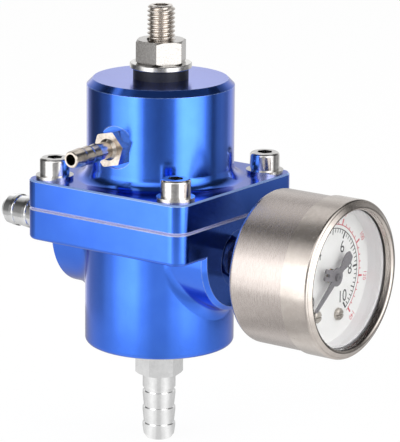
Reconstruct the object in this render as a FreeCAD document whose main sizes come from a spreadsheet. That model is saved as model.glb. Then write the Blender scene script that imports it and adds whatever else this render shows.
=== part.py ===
import FreeCAD, Part
import math
import os

import Sketcher
from FreeCAD import Placement, Rotation, Vector

# Fuel pressure regulator with a spring bonnet, a diaphragm valve, hose barbs and a pressure gauge.
# All lengths are millimetres. +Z is up along the bonnet, +X points to the gauge, -Y to the vacuum
# barb and -X to the inlet barb. The origin lies on the main axis, in the grip of the return barb.

os.makedirs("parts", exist_ok=True)

doc = FreeCAD.newDocument("FuelPressureRegulator")
sheet = doc.addObject("Spreadsheet::Sheet", "Sizes")

# Driving dimensions. Heights of the housings are measured from the parting plane of the flanges.
sizes = {
    # square flanges
    "flange_corner": 4.3,
    "upper_flange": 8.5,
    "lower_flange": 8.9,
    "upper_parting": 0.65,
    "lower_parting": 0.25,
    "flange_round": 1.1,
    "edge_break": 0.4,
    "hex_slack": 0.01,
    # bonnet
    "bonnet_inset": 0.45,
    "bonnet_height": 36.75,
    "bonnet_chamfer": 1.8,
    "bonnet_fillet": 3.5,
    "cavity_radius": 16.0,
    "cavity_height": 29.5,
    "cavity_round": 1.5,
    # lower body
    "barrel_radius": 21.4,
    "barrel_depth": 40.25,
    "barrel_round": 1.4,
    "boss_radius": 16.2,
    "boss_drop": 10.25,
    "boss_edge": 1.2,
    "boss_fillet": 4.0,
    "chamber_depth": 14.0,
    "tower_radius": 6.5,
    "tower_drop": 5.6,
    "return_bore": 3.0,
    # ports
    "port_radius": 5.1,
    "port_depth": 9.5,
    "spot_radius": 8.2,
    "spot_depth": 1.05,
    "passage_radius": 2.6,
    "passage_lap": 1.0,
    "inlet_drop": 9.6,
    "gauge_drop": 11.5,
    "thread_gap": 0.05,
    # hose barbs, measured from the face that their hexagon stands on
    "hose_hex": 12.0,
    "return_hex_angle": 18.0,
    "hose_hex_height": 8.75,
    "hose_hex_edge": 0.6,
    "hose_thread_length": 8.0,
    "hose_bore": 2.75,
    "hose_neck": 4.05,
    "hose_neck_radius": 4.75,
    "hose_flare": 0.05,
    "hose_groove": 1.3,
    "hose_root": 4.35,
    "hose_crest": 4.75,
    "hose_land": 1.0,
    "hose_pitch": 4.85,
    "hose_tip": 3.4,
    "hose_tip_radius": 4.45,
    "hose_tip_chamfer": 1.2,
    "return_standoff": 1.0,
    # vacuum barb
    "vacuum_height": 20.1,
    "vacuum_spot_depth": 0.5,
    "vacuum_spot_radius": 6.0,
    "vacuum_port": 3.0,
    "vacuum_hex": 9.2,
    "vacuum_hex_angle": 13.0,
    "vacuum_hex_height": 3.85,
    "vacuum_hex_edge": 0.15,
    "vacuum_thread_length": 4.0,
    "vacuum_bore": 1.6,
    "vacuum_neck": 5.0,
    "vacuum_neck_radius": 2.4,
    "vacuum_flare": 0.7,
    "vacuum_groove": 0.2,
    "vacuum_root": 2.3,
    "vacuum_crest": 2.65,
    "vacuum_land": 0.5,
    "vacuum_pitch": 3.3,
    "vacuum_tip": 4.1,
    "vacuum_tip_radius": 2.3,
    "vacuum_tip_chamfer": 0.3,
    # flange screws
    "screw_edge": 6.35,
    "screw_radius": 2.45,
    "screw_length": 16.0,
    "screw_clearance": 0.3,
    "screw_head_radius": 4.25,
    "screw_head_height": 5.0,
    "screw_head_round": 0.9,
    "screw_socket": 4.0,
    "screw_socket_depth": 2.8,
    "washer_radius": 5.35,
    "washer_gap": 0.32,
    "washer_thickness": 1.0,
    # diaphragm and valve
    "diaphragm_radius": 22.2,
    "diaphragm_thickness": 0.9,
    "diaphragm_gap": 0.1,
    "convolution_radius": 14.2,
    "convolution_height": 1.0,
    "plate_radius": 12.2,
    "plate_thickness": 1.6,
    "plate_lip": 1.0,
    "stud_radius": 2.95,
    "stud_gap": 0.05,
    "valve_radius": 9.0,
    "valve_thickness": 1.5,
    "valve_seal_radius": 4.3,
    "valve_seal_thickness": 1.5,
    "valve_seal_recess": 0.9,
    "seat_radius": 3.6,
    "seat_bore": 2.3,
    "seat_length": 10.0,
    "seat_crest": 0.6,
    "plate_nut_hex": 10.0,
    "plate_nut_height": 3.0,
    # spring and its cap
    "spring_radius": 8.6,
    "spring_wire": 1.4,
    "spring_length": 22.0,
    "spring_coils": 5.0,
    "cap_radius": 11.6,
    "cap_thickness": 2.2,
    "cap_spigot_radius": 6.8,
    "cap_spigot": 3.0,
    "cap_recess_radius": 2.9,
    "cap_recess": 0.9,
    # adjusting screw and its lock
    "adjuster_radius": 3.95,
    "adjuster_gap": 0.08,
    "adjuster_top": 20.75,
    "adjuster_chamfer": 0.7,
    "adjuster_dog_radius": 2.8,
    "adjuster_dog": 2.0,
    "adjuster_socket": 4.0,
    "adjuster_socket_depth": 5.0,
    "seal_radius": 7.85,
    "seal_thickness": 2.9,
    "lock_washer_radius": 8.75,
    "lock_washer_thickness": 1.55,
    "nut_hex": 13.0,
    "nut_height": 6.5,
    "nut_chamfer": 0.85,
    "nut_turn": -3.3,
    # gauge case, measured along X from the main axis
    "gauge_neck": 11.55,
    "gauge_radius": 22.25,
    "gauge_depth": 27.2,
    "case_wall": 0.8,
    "case_round": 1.6,
    "case_rim": 5.2,
    "bezel_wall": 0.5,
    "bezel_skirt": 9.1,
    "bezel_round": 0.8,
    "bezel_lip": 0.65,
    "bezel_opening": 19.4,
    "bezel_fold": 2.2,
    "lens_thickness": 1.5,
    "gasket_thickness": 1.5,
    "spacer_wall": 1.9,
    "inside_gap": 0.15,
    "dial_drop": 8.5,
    "dial_thickness": 0.5,
    "dial_hole": 2.0,
    # dial screws, placed from the dial's centre
    "dial_screw_right": 3.9,
    "dial_screw_right_drop": 11.66,
    "dial_screw_left": 6.93,
    "dial_screw_left_drop": 10.16,
    "dial_screw_head": 1.7,
    "dial_screw_head_height": 1.2,
    "dial_screw_slot": 0.45,
    "dial_screw_radius": 0.6,
    # pointer
    "pointer_rise": 2.4,
    "pointer_thickness": 0.4,
    "pointer_length": 13.0,
    "pointer_root": 1.1,
    "pointer_end": 0.55,
    "pointer_hub": 2.6,
    "pointer_boss": 1.15,
    "pointer_boss_height": 0.7,
    "pointer_collar": 1.7,
    "pointer_tail": 8.6,
    "pointer_tail_width": 1.75,
    "pointer_tail_neck": 1.0,
    "pointer_angle": -128.0,
    "lug_reach": 6.3,
    "lug_width": 3.4,
    "lug_slot": 0.8,
    "lug_slot_depth": 2.2,
    "lug_angle": -73.0,
    # gauge socket, movement and tube
    "stem_length": 8.5,
    "stem_standoff": 1.2,
    "stem_hex": 11.0,
    "stem_bore": 1.6,
    "socket_neck": 6.0,
    "socket_flange": 11.0,
    "socket_flange_thickness": 2.0,
    "socket_column": 5.0,
    "case_screw_radius": 1.2,
    "case_screw_head": 2.1,
    "case_screw_head_height": 1.4,
    "case_screw_spread": 8.6,
    "case_screw_slot": 0.5,
    "tube_radius": 14.6,
    "tube_half_width": 2.6,
    "tube_half_thickness": 1.1,
    "tube_wall": 0.35,
    "tube_level": 6.6,
    "tube_end_angle": 20.0,
    "tube_sweep_angle": 226.0,
    "tube_chamber_angle": 4.0,
    "arm_width": 6.0,
    "arm_bore": 0.9,
    "arm_drop": 1.0,
    "tip_length": 4.0,
    "tip_width": 3.4,
    "tip_height": 6.4,
    "movement_level": 10.8,
    "movement_plate": 0.8,
    "plate_half_width": 8.6,
    "plate_above": 4.8,
    "plate_below": 15.2,
    "plate_corner": 2.0,
    "pillar_radius": 1.3,
    "pillar_right": 5.6,
    "pillar_above": 2.6,
    "pillar_below": 13.0,
    "arbor_radius": 0.6,
    "arbor_gap": 0.03,
    "gear_module": 0.2,
    "pressure_angle": 20,
    "pinion_teeth": 12,
    "sector_teeth": 84,
    "gear_width": 1.2,
    "gear_rise": 1.6,
    "gear_backlash": 0.05,
    "pinion_tooth_top": 0.2,
    "sector_tooth_top": 0.13,
    "tooth_bottom": 0.25,
    "sector_hub": 1.7,
    "sector_rim": 1.2,
    "sector_arm": 1.6,
    "sector_travel_angle": 38.571428,
    "sector_margin_angle": 6.4,
    "tail_reach": 3.0,
    "tail_angle": -54.4,
    "link_end": 0.95,
    "link_half_width": 0.95,
    "link_thickness": 0.4,
    "link_gap": 0.1,
    "pin_radius": 0.45,
    "link_play": 0.2,
    "link_slot": 2.1,
}

for row, (alias, number) in enumerate(sizes.items(), 1):
    sheet.set(f"A{row}", alias.replace("_", " "))
    sheet.set(f"B{row}", str(number))
    sheet.setAlias(f"B{row}", alias)
doc.recompute()


class Size:
    """A length that knows its number and the formula, in sheet names, that gives it."""

    def __init__(self, number, formula):
        self.number = float(number)
        self.formula = formula

    def __add__(self, other):
        other = as_size(other)
        return Size(self.number + other.number, f"({self.formula} + {other.formula})")

    def __sub__(self, other):
        other = as_size(other)
        return Size(self.number - other.number, f"({self.formula} - {other.formula})")

    def __mul__(self, other):
        other = as_size(other)
        return Size(self.number * other.number, f"({self.formula} * {other.formula})")

    def __truediv__(self, other):
        other = as_size(other)
        return Size(self.number / other.number, f"({self.formula} / {other.formula})")

    def __radd__(self, other):
        return as_size(other) + self

    def __rsub__(self, other):
        return as_size(other) - self

    def __rmul__(self, other):
        return as_size(other) * self

    def __neg__(self):
        return Size(-self.number, f"(0 - {self.formula})")

    def root(self):
        return Size(math.sqrt(self.number), f"sqrt({self.formula})")

    def sine(self):
        return Size(math.sin(math.radians(self.number)), f"sin({self.formula})")

    def cosine(self):
        return Size(math.cos(math.radians(self.number)), f"cos({self.formula})")

    def arcsine(self):
        return Size(math.degrees(math.asin(self.number)), f"asin({self.formula})")


def as_size(value):
    if isinstance(value, Size):
        return value
    return Size(value, repr(float(value)))


class Sheet:
    """Gives each driving dimension as a Size, by its sheet name."""

    def __getattr__(self, name):
        return Size(sizes[name], f"Sizes.{name}")


d = Sheet()
zero = as_size(0)
root_two = math.sqrt(2)
root_three = math.sqrt(3)
pieces = []


def bind(item, prop, size):
    """Set a property to a Size, as its number where it is plain and as its formula where it is driven."""
    size = as_size(size)
    item.setExpression(prop, size.formula)


def put(item, at=(0, 0, 0), turn=None, spin=None):
    """Place an item: its turn is fixed, its spin about Z and its coordinates follow their formulas."""
    item.Placement = Placement(Vector(*[as_size(c).number for c in at]), turn or Rotation())
    if spin is not None:
        item.Placement.Rotation = Rotation(Vector(0, 0, 1), as_size(spin).number)
        bind(item, "Placement.Rotation.Angle", spin)
    for letter, coordinate in zip("xyz", at):
        if as_size(coordinate).number or isinstance(coordinate, Size):
            bind(item, f"Placement.Base.{letter}", coordinate)
    return item


def piece(item, label):
    """Give a finished piece its own name, and keep it for the end."""
    item.Label = label
    pieces.append(item)
    return item


def new(kind, name):
    return doc.addObject(kind, name)


def rod(name, radius, height, at=(0, 0, 0), turn=None):
    """A cylinder that stands on its own origin."""
    item = new("Part::Cylinder", name)
    bind(item, "Radius", radius)
    bind(item, "Height", height)
    return put(item, at, turn)


def block(name, length, width, height, at=(0, 0, 0), turn=None):
    """A box centred on its own X and Y."""
    item = new("Part::Box", name)
    bind(item, "Length", length)
    bind(item, "Width", width)
    bind(item, "Height", height)
    return put(item, (at[0] - as_size(length) / 2, at[1] - as_size(width) / 2, at[2]), turn)


def hexagon(name, across_flats, height, at=(0, 0, 0), turn=None):
    """A hexagonal prism with its first corner on its own X."""
    item = new("Part::Prism", name)
    item.Polygon = 6
    bind(item, "Circumradius", as_size(across_flats) / root_three)
    bind(item, "Height", height)
    return put(item, at, turn)


def fused(name, *items):
    item = new("Part::MultiFuse", name)
    item.Shapes = list(items)
    item.Refine = True
    return item


def less(name, base, *tools):
    item = new("Part::Cut", name)
    item.Base = base
    item.Tool = tools[0] if len(tools) == 1 else fused(name + "Tool", *tools)
    return item


def common(name, *items):
    item = new("Part::MultiCommon", name)
    item.Shapes = list(items)
    return item


class Arc:
    """A stretch of outline, under half a turn, that bends round a centre between two points."""

    def __init__(self, radius, centre):
        self.radius, self.centre = as_size(radius), centre

    def curve(self, start, end):
        """The arc, drawn anticlockwise, and whether its outline runs through it clockwise."""
        centre = Vector(*[as_size(c).number for c in self.centre], 0)
        middle = centre + ((start + end) / 2 - centre).normalize() * self.radius.number
        if (start - centre).cross(end - centre).z > 0:
            return Part.Arc(start, middle, end), False
        return Part.Arc(end, middle, start), True


def plane_of(body, role):
    return [feature for feature in body.Origin.OriginFeatures if feature.Role == role][0]


def outline(body, name, loops, role="XZ_Plane"):
    """A sketch of closed loops. Each loop lists points, and Arcs between the points they join."""
    sketch = body.newObject("Sketcher::SketchObject", name)
    sketch.AttachmentSupport = [(plane_of(body, role), "")]
    sketch.MapMode = "FlatFace"
    for loop in loops:
        points = [item for item in loop if not isinstance(item, Arc)]
        points = [(as_size(a), as_size(b)) for a, b in points]
        arcs, at = {}, -1
        for item in loop:
            if isinstance(item, Arc):
                arcs[at] = item
            else:
                at += 1
        first, count = sketch.GeometryCount, len(points)
        corners = [Vector(across.number, up.number, 0) for across, up in points]
        clockwise = []
        for index, start in enumerate(corners):
            end = corners[(index + 1) % count]
            curve, backward = Part.LineSegment(start, end), False
            if index in arcs:
                curve, backward = arcs[index].curve(start, end)
            sketch.addGeometry(curve, False)
            clockwise.append(backward)
        for index in range(count):
            after = (index + 1) % count
            tail = 1 if clockwise[index] else 2
            head = 2 if clockwise[after] else 1
            sketch.addConstraint(
                Sketcher.Constraint("Coincident", first + index, tail, first + after, head))
        for index, point in enumerate(points):
            head = 2 if clockwise[index] else 1
            for kind, size, axis in (("DistanceX", point[0], -2), ("DistanceY", point[1], -1)):
                if size.formula == zero.formula:
                    rule = Sketcher.Constraint("PointOnObject", first + index, head, axis)
                    sketch.addConstraint(rule)
                else:
                    rule = Sketcher.Constraint(kind, -1, 1, first + index, head, size.number)
                    number = sketch.addConstraint(rule)
                    sketch.setExpression(f"Constraints[{number}]", size.formula)
        for index, arc in arcs.items():
            number = sketch.addConstraint(
                Sketcher.Constraint("Radius", first + index, arc.radius.number))
            sketch.setExpression(f"Constraints[{number}]", arc.radius.formula)
    return sketch


def circles(body, name, spots, role="XY_Plane"):
    """A sketch of circles, each given as across, up and radius."""
    sketch = body.newObject("Sketcher::SketchObject", name)
    sketch.AttachmentSupport = [(plane_of(body, role), "")]
    sketch.MapMode = "FlatFace"
    for index, (across, up, radius) in enumerate(spots):
        across, up, radius = as_size(across), as_size(up), as_size(radius)
        centre = Vector(across.number, up.number, 0)
        sketch.addGeometry(Part.Circle(centre, Vector(0, 0, 1), radius.number), False)
        for kind, size, axis in (("DistanceX", across, -2), ("DistanceY", up, -1)):
            if size.formula == zero.formula:
                sketch.addConstraint(Sketcher.Constraint("PointOnObject", index, 3, axis))
            else:
                rule = Sketcher.Constraint(kind, -1, 1, index, 3, size.number)
                number = sketch.addConstraint(rule)
                sketch.setExpression(f"Constraints[{number}]", size.formula)
        number = sketch.addConstraint(Sketcher.Constraint("Radius", index, radius.number))
        sketch.setExpression(f"Constraints[{number}]", radius.formula)
    return sketch


def revolve(body, name, sketch, kind="PartDesign::Revolution", angle=360):
    feature = body.newObject(kind, name)
    feature.Profile = sketch
    feature.ReferenceAxis = (sketch, ["V_Axis"])
    bind(feature, "Angle", angle)
    return feature


def pad(body, name, sketch, length, reverse=False, both_ways=False, kind="PartDesign::Pad"):
    feature = body.newObject(kind, name)
    feature.Profile = sketch
    bind(feature, "Length", length)
    feature.Reversed = reverse
    if both_ways:
        feature.Midplane = True
    return feature


def turned(name, *loops):
    """A body turned about its own Z from outlines of radius and height."""
    body = new("PartDesign::Body", name)
    revolve(body, name + "Turn", outline(body, name + "Outline", loops))
    return body


def rounded_square(half, corner):
    """The outline of a square plate with rounded corners, centred on the origin."""
    inner = half - corner
    corners = ((1, 1), (-1, 1), (-1, -1), (1, -1))
    loop = []
    for index, (a, b) in enumerate(corners):
        side_first = (a * half, b * inner), (a * inner, b * half)
        if index % 2:
            side_first = side_first[1], side_first[0]
        loop += [side_first[0], Arc(corner, (a * inner, b * inner)), side_first[1]]
    return loop


def edges_where(feature, test):
    """Names of the edges whose every sampled point passes a test."""
    names = []
    for number, edge in enumerate(feature.Shape.Edges, 1):
        samples = edge.discretize(5)
        if all(test(point) for point in samples):
            names.append(f"Edge{number}")
    return names


def dress(body, name, kind, prop, size, base, test):
    """A fillet or chamfer on the edges of the base that pass a test."""
    doc.recompute()
    feature = body.newObject(kind, name)
    feature.Base = (base, edges_where(base, test))
    bind(feature, prop, size)
    return feature


def near(value, target, slack=0.01):
    return abs(value - target) < slack


# The washers lie clear of the bonnet's root, and the flange reaches past the screws.
bonnet_radius = d.barrel_radius - d.bonnet_inset
screw_spread = (bonnet_radius + d.bonnet_fillet + d.washer_gap + d.washer_radius) / root_two
flange_half = screw_spread + d.screw_edge
gauge_back = flange_half + d.gauge_neck
gauge_front = gauge_back + d.gauge_depth

# Levels along the main axis, from the origin in the return barb's grip up to the nut.
hex_to_grip = d.hose_neck + d.hose_groove + d.hose_pitch * 2 + d.hose_land
grip_middle = d.hose_hex_height + (d.hose_flare + hex_to_grip) / 2
body_foot = d.return_standoff + grip_middle
parting = body_foot + d.barrel_depth
bonnet_top = parting + d.bonnet_height
washer_level = bonnet_top + d.seal_thickness
nut_level = washer_level + d.lock_washer_thickness
plate_top = parting + d.plate_thickness
cap_level = plate_top + d.spring_length
port_floor = flange_half - d.spot_depth
vacuum_spot = bonnet_radius - d.vacuum_spot_depth
gauge_level = parting - d.gauge_drop


def lower_body():
    """Machined block: square flange, round barrel and a cross boss with the side ports."""
    body = new("PartDesign::Body", "LowerBody")
    square = outline(body, "LowerFlangeOutline", [rounded_square(flange_half, d.flange_corner)],
                     "XY_Plane")
    flange = pad(body, "LowerFlange", square, d.lower_flange, reverse=True)
    foot = sizes["lower_flange"]
    flange = dress(body, "LowerFlangeRound", "PartDesign::Fillet", "Radius", d.flange_round, flange,
                   lambda p: near(p.z, -foot))
    flange = dress(body, "PartingChamfer", "PartDesign::Chamfer", "Size", d.lower_parting, flange,
                   lambda p: near(p.z, 0))
    barrel = outline(body, "BarrelOutline", [[
        (zero, -d.lower_flange / 2),
        (d.barrel_radius, -d.lower_flange / 2),
        (d.barrel_radius, d.barrel_round - d.barrel_depth),
        Arc(d.barrel_round, (d.barrel_radius - d.barrel_round, d.barrel_round - d.barrel_depth)),
        (d.barrel_radius - d.barrel_round, -d.barrel_depth),
        (zero, -d.barrel_depth),
    ]])
    revolve(body, "Barrel", barrel)
    boss_outline = outline(body, "BossOutline", [[
        (-d.boss_radius, -d.lower_flange / 2),
        (-d.boss_radius, -d.boss_drop),
        Arc(d.boss_radius, (zero, -d.boss_drop)),
        (zero, -d.boss_drop - d.boss_radius),
        Arc(d.boss_radius, (zero, -d.boss_drop)),
        (d.boss_radius, -d.boss_drop),
        (d.boss_radius, -d.lower_flange / 2),
    ]], "YZ_Plane")
    boss = pad(body, "Boss", boss_outline, flange_half * 2, both_ways=True)
    barrel_radius, boss_radius = sizes["barrel_radius"], sizes["boss_radius"]
    boss_drop, side = sizes["boss_drop"], flange_half.number

    def on_junction(p):
        """On the barrel and on the boss at once, below the flange."""
        on_barrel = near(math.hypot(p.x, p.y), barrel_radius, 0.02)
        depth = min(p.z + boss_drop, 0)
        return on_barrel and near(math.hypot(p.y, depth), boss_radius, 0.02) and p.z < -foot + 0.01

    boss = dress(body, "BossFillet", "PartDesign::Fillet", "Radius", d.boss_fillet, boss, on_junction)
    boss = dress(body, "BossEdge", "PartDesign::Chamfer", "Size", d.boss_edge, boss,
                 lambda p: near(abs(p.x), side) and p.z < -boss_drop + 0.01)
    inside = outline(body, "ChamberOutline", [[
        (zero, zero),
        (d.diaphragm_radius + d.diaphragm_gap, zero),
        (d.diaphragm_radius + d.diaphragm_gap, -d.diaphragm_thickness),
        (d.cavity_radius, -d.diaphragm_thickness),
        (d.cavity_radius, -d.chamber_depth),
        (d.tower_radius, -d.chamber_depth),
        (d.tower_radius, -d.tower_drop),
        (d.seat_radius, -d.tower_drop),
        (d.seat_radius, -seat_drop - d.seat_length),
        (d.return_bore, -seat_drop - d.seat_length),
        (d.return_bore, d.port_depth - d.barrel_depth),
        (d.port_radius, d.port_depth - d.barrel_depth),
        (d.port_radius, -d.barrel_depth),
        (zero, -d.barrel_depth),
    ]])
    revolve(body, "Chamber", inside, "PartDesign::Groove")
    taps = circles(body, "TapCircles", [
        (a * screw_spread, b * screw_spread, d.screw_radius + d.thread_gap)
        for a in (-1, 1) for b in (-1, 1)])
    pad(body, "Taps", taps, d.lower_flange, kind="PartDesign::Pocket")
    cutters = []
    for side_name, way, drop in (("Inlet", -1, d.inlet_drop), ("Gauge", 1, d.gauge_drop)):
        turn = Rotation(Vector(0, 1, 0), 90 * way)
        cutters.append(rod(side_name + "Passage", d.passage_radius, d.port_depth,
                           (way * (d.cavity_radius - d.passage_lap), zero, -drop), turn))
        cutters.append(rod(side_name + "Port", d.port_radius, d.port_depth + d.spot_depth,
                           (way * (port_floor - d.port_depth), zero, -drop), turn))
    cutters.append(rod("GaugeSpot", d.spot_radius, d.spot_depth * 2,
                       (port_floor, zero, -d.gauge_drop), turn))
    item = less("LowerBodyPorts", body, *cutters)
    put(item, (zero, zero, parting))
    piece(item, "lower_body")


def spring_bonnet():
    """Upper housing: square flange, round barrel and a cavity for the spring."""
    body = new("PartDesign::Body", "Bonnet")
    square = outline(body, "UpperFlangeOutline", [rounded_square(flange_half, d.flange_corner)],
                     "XY_Plane")
    flange = pad(body, "UpperFlange", square, d.upper_flange)
    top = sizes["upper_flange"]
    flange = dress(body, "UpperFlangeEdge", "PartDesign::Chamfer", "Size", d.edge_break, flange,
                   lambda p: near(p.z, top))
    dress(body, "UpperPartingEdge", "PartDesign::Chamfer", "Size", d.upper_parting, flange,
          lambda p: near(p.z, 0))
    barrel = outline(body, "BonnetOutline", [[
        (zero, d.upper_flange / 2),
        (bonnet_radius + d.bonnet_fillet, d.upper_flange / 2),
        (bonnet_radius + d.bonnet_fillet, d.upper_flange),
        Arc(d.bonnet_fillet, (bonnet_radius + d.bonnet_fillet, d.upper_flange + d.bonnet_fillet)),
        (bonnet_radius, d.upper_flange + d.bonnet_fillet),
        (bonnet_radius, d.bonnet_height - d.bonnet_chamfer),
        (bonnet_radius - d.bonnet_chamfer, d.bonnet_height),
        (zero, d.bonnet_height),
    ]])
    revolve(body, "BonnetBarrel", barrel)
    inside = outline(body, "CavityOutline", [[
        (zero, zero),
        (d.cavity_radius, zero),
        (d.cavity_radius, d.cavity_height - d.cavity_round),
        Arc(d.cavity_round, (d.cavity_radius - d.cavity_round, d.cavity_height - d.cavity_round)),
        (d.cavity_radius - d.cavity_round, d.cavity_height),
        (d.adjuster_radius + d.adjuster_gap, d.cavity_height),
        (d.adjuster_radius + d.adjuster_gap, d.bonnet_height),
        (zero, d.bonnet_height),
    ]])
    revolve(body, "Cavity", inside, "PartDesign::Groove")
    holes = circles(body, "ScrewHoleCircles", [
        (a * screw_spread, b * screw_spread, d.screw_radius + d.screw_clearance)
        for a in (-1, 1) for b in (-1, 1)])
    pad(body, "ScrewHoles", holes, d.upper_flange, reverse=True, kind="PartDesign::Pocket")
    turn = Rotation(Vector(1, 0, 0), 90)
    port = rod("VacuumPort", d.vacuum_port, bonnet_radius - d.cavity_radius / 2,
               (zero, -d.cavity_radius / 2, d.vacuum_height), turn)
    spot = rod("VacuumSpot", d.vacuum_spot_radius, bonnet_radius,
               (zero, -vacuum_spot, d.vacuum_height), turn)
    item = less("BonnetPorts", body, port, spot)
    put(item, (zero, zero, parting))
    piece(item, "spring_bonnet")


def barbed_fitting(label, family, thread, at, turn, hex_turn):
    """Nickel plated fitting: threaded stub, hexagon, plain neck and a barb with three ridges."""
    bore, hex_height, crest, root, neck_radius, flare = (
        getattr(d, f"{family}_{name}")
        for name in ("bore", "hex_height", "crest", "root", "neck_radius", "flare"))
    land, pitch, chamfer, tip_radius, stub, across, hex_break = (
        getattr(d, f"{family}_{name}")
        for name in ("land", "pitch", "tip_chamfer", "tip_radius", "thread_length", "hex", "hex_edge"))
    name = "".join(word.title() for word in label.split("_"))
    neck_end = hex_height + getattr(d, f"{family}_neck")
    first = neck_end + getattr(d, f"{family}_groove")
    end = first + pitch * 2 + land + getattr(d, f"{family}_tip")
    core = turned(name + "Core", [
        (bore, -stub),
        (thread - d.edge_break, -stub),
        (thread, d.edge_break - stub),
        (thread, hex_height / 2),
        (neck_radius + flare, hex_height / 2),
        (neck_radius + flare, hex_height),
        (neck_radius, hex_height + flare),
        (neck_radius, neck_end),
        (root, neck_end),
        (root, first),
        (crest, first),
        (crest, first + land),
        (root, first + pitch),
        (crest, first + pitch),
        (crest, first + pitch + land),
        (root, first + pitch * 2),
        (crest, first + pitch * 2),
        (crest, first + pitch * 2 + land),
        (tip_radius, end - chamfer),
        (tip_radius - chamfer * 0.7, end),
        (bore, end),
    ])
    blank = hexagon(name + "Hex", across, hex_height, turn=Rotation(Vector(0, 0, 1), hex_turn))
    trim = hex_edge(name + "HexEdge", across, hex_height, hex_break)
    hole = rod(name + "HexHole", root, hex_height * 2, (zero, zero, -hex_height / 2))
    ring_of_hex = less(name + "HexRing", common(name + "HexShape", blank, trim), hole)
    item = fused(name, core, ring_of_hex)
    put(item, at, turn)
    piece(item, label)


def hex_edge(name, across_flats, height, chamfer):
    """A turned blank that trims the corners of a hexagon at both ends."""
    corner = across_flats / root_three
    return turned(name, [
        (zero, zero),
        (corner - chamfer, zero),
        (corner + d.hex_slack, chamfer * 0.6),
        (corner + d.hex_slack, height - chamfer * 0.6),
        (corner - chamfer, height),
        (zero, height),
    ])


def ring(name, inner, outer, height):
    return turned(name, [(inner, zero), (outer, zero), (outer, height), (inner, height)])


def flange_screws():
    """Four socket cap screws with plain washers, one in each corner of the flanges."""
    corners = ((-1, -1), (1, -1), (1, 1), (-1, 1))
    seat = parting + d.upper_flange
    for number, (a, b) in enumerate(corners, 1):
        at = (a * screw_spread, b * screw_spread)
        washer = ring(f"FlangeWasher{number}", d.screw_radius + d.screw_clearance / 2,
                      d.washer_radius, d.washer_thickness)
        put(washer, (*at, seat))
        piece(washer, f"flange_washer_{number}")
        head, top = d.screw_head_radius, d.screw_head_height
        blank = turned(f"FlangeScrewBlank{number}", [
            (zero, -d.screw_length),
            (d.screw_radius - d.edge_break, -d.screw_length),
            (d.screw_radius, d.edge_break - d.screw_length),
            (d.screw_radius, zero),
            (head, zero),
            (head, top - d.screw_head_round),
            Arc(d.screw_head_round, (head - d.screw_head_round, top - d.screw_head_round)),
            (head - d.screw_head_round, top),
            (zero, top),
        ])
        socket = hexagon(f"FlangeScrewSocket{number}", d.screw_socket, d.screw_socket_depth * 2,
                         (0, 0, top - d.screw_socket_depth))
        screw = less(f"FlangeScrew{number}", blank, socket)
        put(screw, (*at, seat + d.washer_thickness))
        piece(screw, f"flange_screw_{number}")


def diaphragm():
    """Moulded rubber disc with one round convolution, clamped between the flanges."""
    thick, bulge, middle = d.diaphragm_thickness, d.convolution_height, d.convolution_radius
    # the two faces of the convolution share a centre, so its wall keeps the sheet's thickness
    outer = bulge + thick
    reach = (outer * outer - thick * thick).root()
    item = turned("Diaphragm", [
        (d.stud_radius + d.stud_gap, -thick),
        (middle - bulge, -thick),
        Arc(bulge, (middle, -thick)),
        (middle, bulge - thick),
        Arc(bulge, (middle, -thick)),
        (middle + bulge, -thick),
        (d.diaphragm_radius, -thick),
        (d.diaphragm_radius, zero),
        (middle + reach, zero),
        Arc(outer, (middle, -thick)),
        (middle, bulge),
        Arc(outer, (middle, -thick)),
        (middle - reach, zero),
        (d.stud_radius + d.stud_gap, zero),
    ])
    put(item, (zero, zero, parting))
    piece(item, "diaphragm")


def valve_parts():
    """Plates that clamp the diaphragm's middle, the valve seal under them and the seat it closes."""
    inner, lip = d.stud_radius + d.stud_gap, d.plate_lip
    plate = turned("SpringPlate", [
        (inner, zero),
        (d.plate_radius, zero),
        (d.plate_radius, d.plate_thickness + lip),
        (d.plate_radius - lip, d.plate_thickness + lip),
        (d.plate_radius - lip, d.plate_thickness),
        (inner, d.plate_thickness),
    ])
    put(plate, (zero, zero, parting))
    piece(plate, "spring_plate")

    stud_top = d.diaphragm_thickness + d.plate_thickness + d.plate_nut_height
    recess = d.valve_seal_recess
    head = turned("ValveHead", [
        (zero, recess - d.valve_thickness),
        (d.valve_seal_radius + d.stud_gap, recess - d.valve_thickness),
        (d.valve_seal_radius + d.stud_gap, -d.valve_thickness),
        (d.valve_radius, -d.valve_thickness),
        (d.valve_radius, zero),
        (d.stud_radius, zero),
        (d.stud_radius, stud_top - d.edge_break),
        (d.stud_radius - d.edge_break, stud_top),
        (zero, stud_top),
    ])
    put(head, (zero, zero, parting - d.diaphragm_thickness))
    piece(head, "valve_head")

    seal = rod("ValveSeal", d.valve_seal_radius, d.valve_seal_thickness,
               (zero, zero, parting - seat_drop))
    piece(seal, "valve_seal")

    blank = hexagon("PlateNutBlank", d.plate_nut_hex, d.plate_nut_height)
    edge = hex_edge("PlateNutEdge", d.plate_nut_hex, d.plate_nut_height, d.nut_chamfer * 0.7)
    hole = rod("PlateNutHole", inner, d.plate_nut_height * 2, (0, 0, -d.plate_nut_height / 2))
    nut = less("PlateNut", common("PlateNutShape", blank, edge), hole)
    put(nut, (zero, zero, plate_top))
    piece(nut, "plate_nut")

    seat = turned("SeatInsert", [
        (d.seat_bore, -d.seat_length),
        (d.seat_radius - d.thread_gap, -d.seat_length),
        (d.seat_radius - d.thread_gap, -d.seat_crest),
        (d.seat_bore + d.seat_crest, zero),
        (d.seat_bore, zero),
    ])
    put(seat, (zero, zero, parting - seat_drop))
    piece(seat, "seat_insert")


# the valve seal hangs below the head by what its recess doesn't hold, and closes on the seat
seat_drop = d.diaphragm_thickness + d.valve_thickness + d.valve_seal_thickness - d.valve_seal_recess


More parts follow.
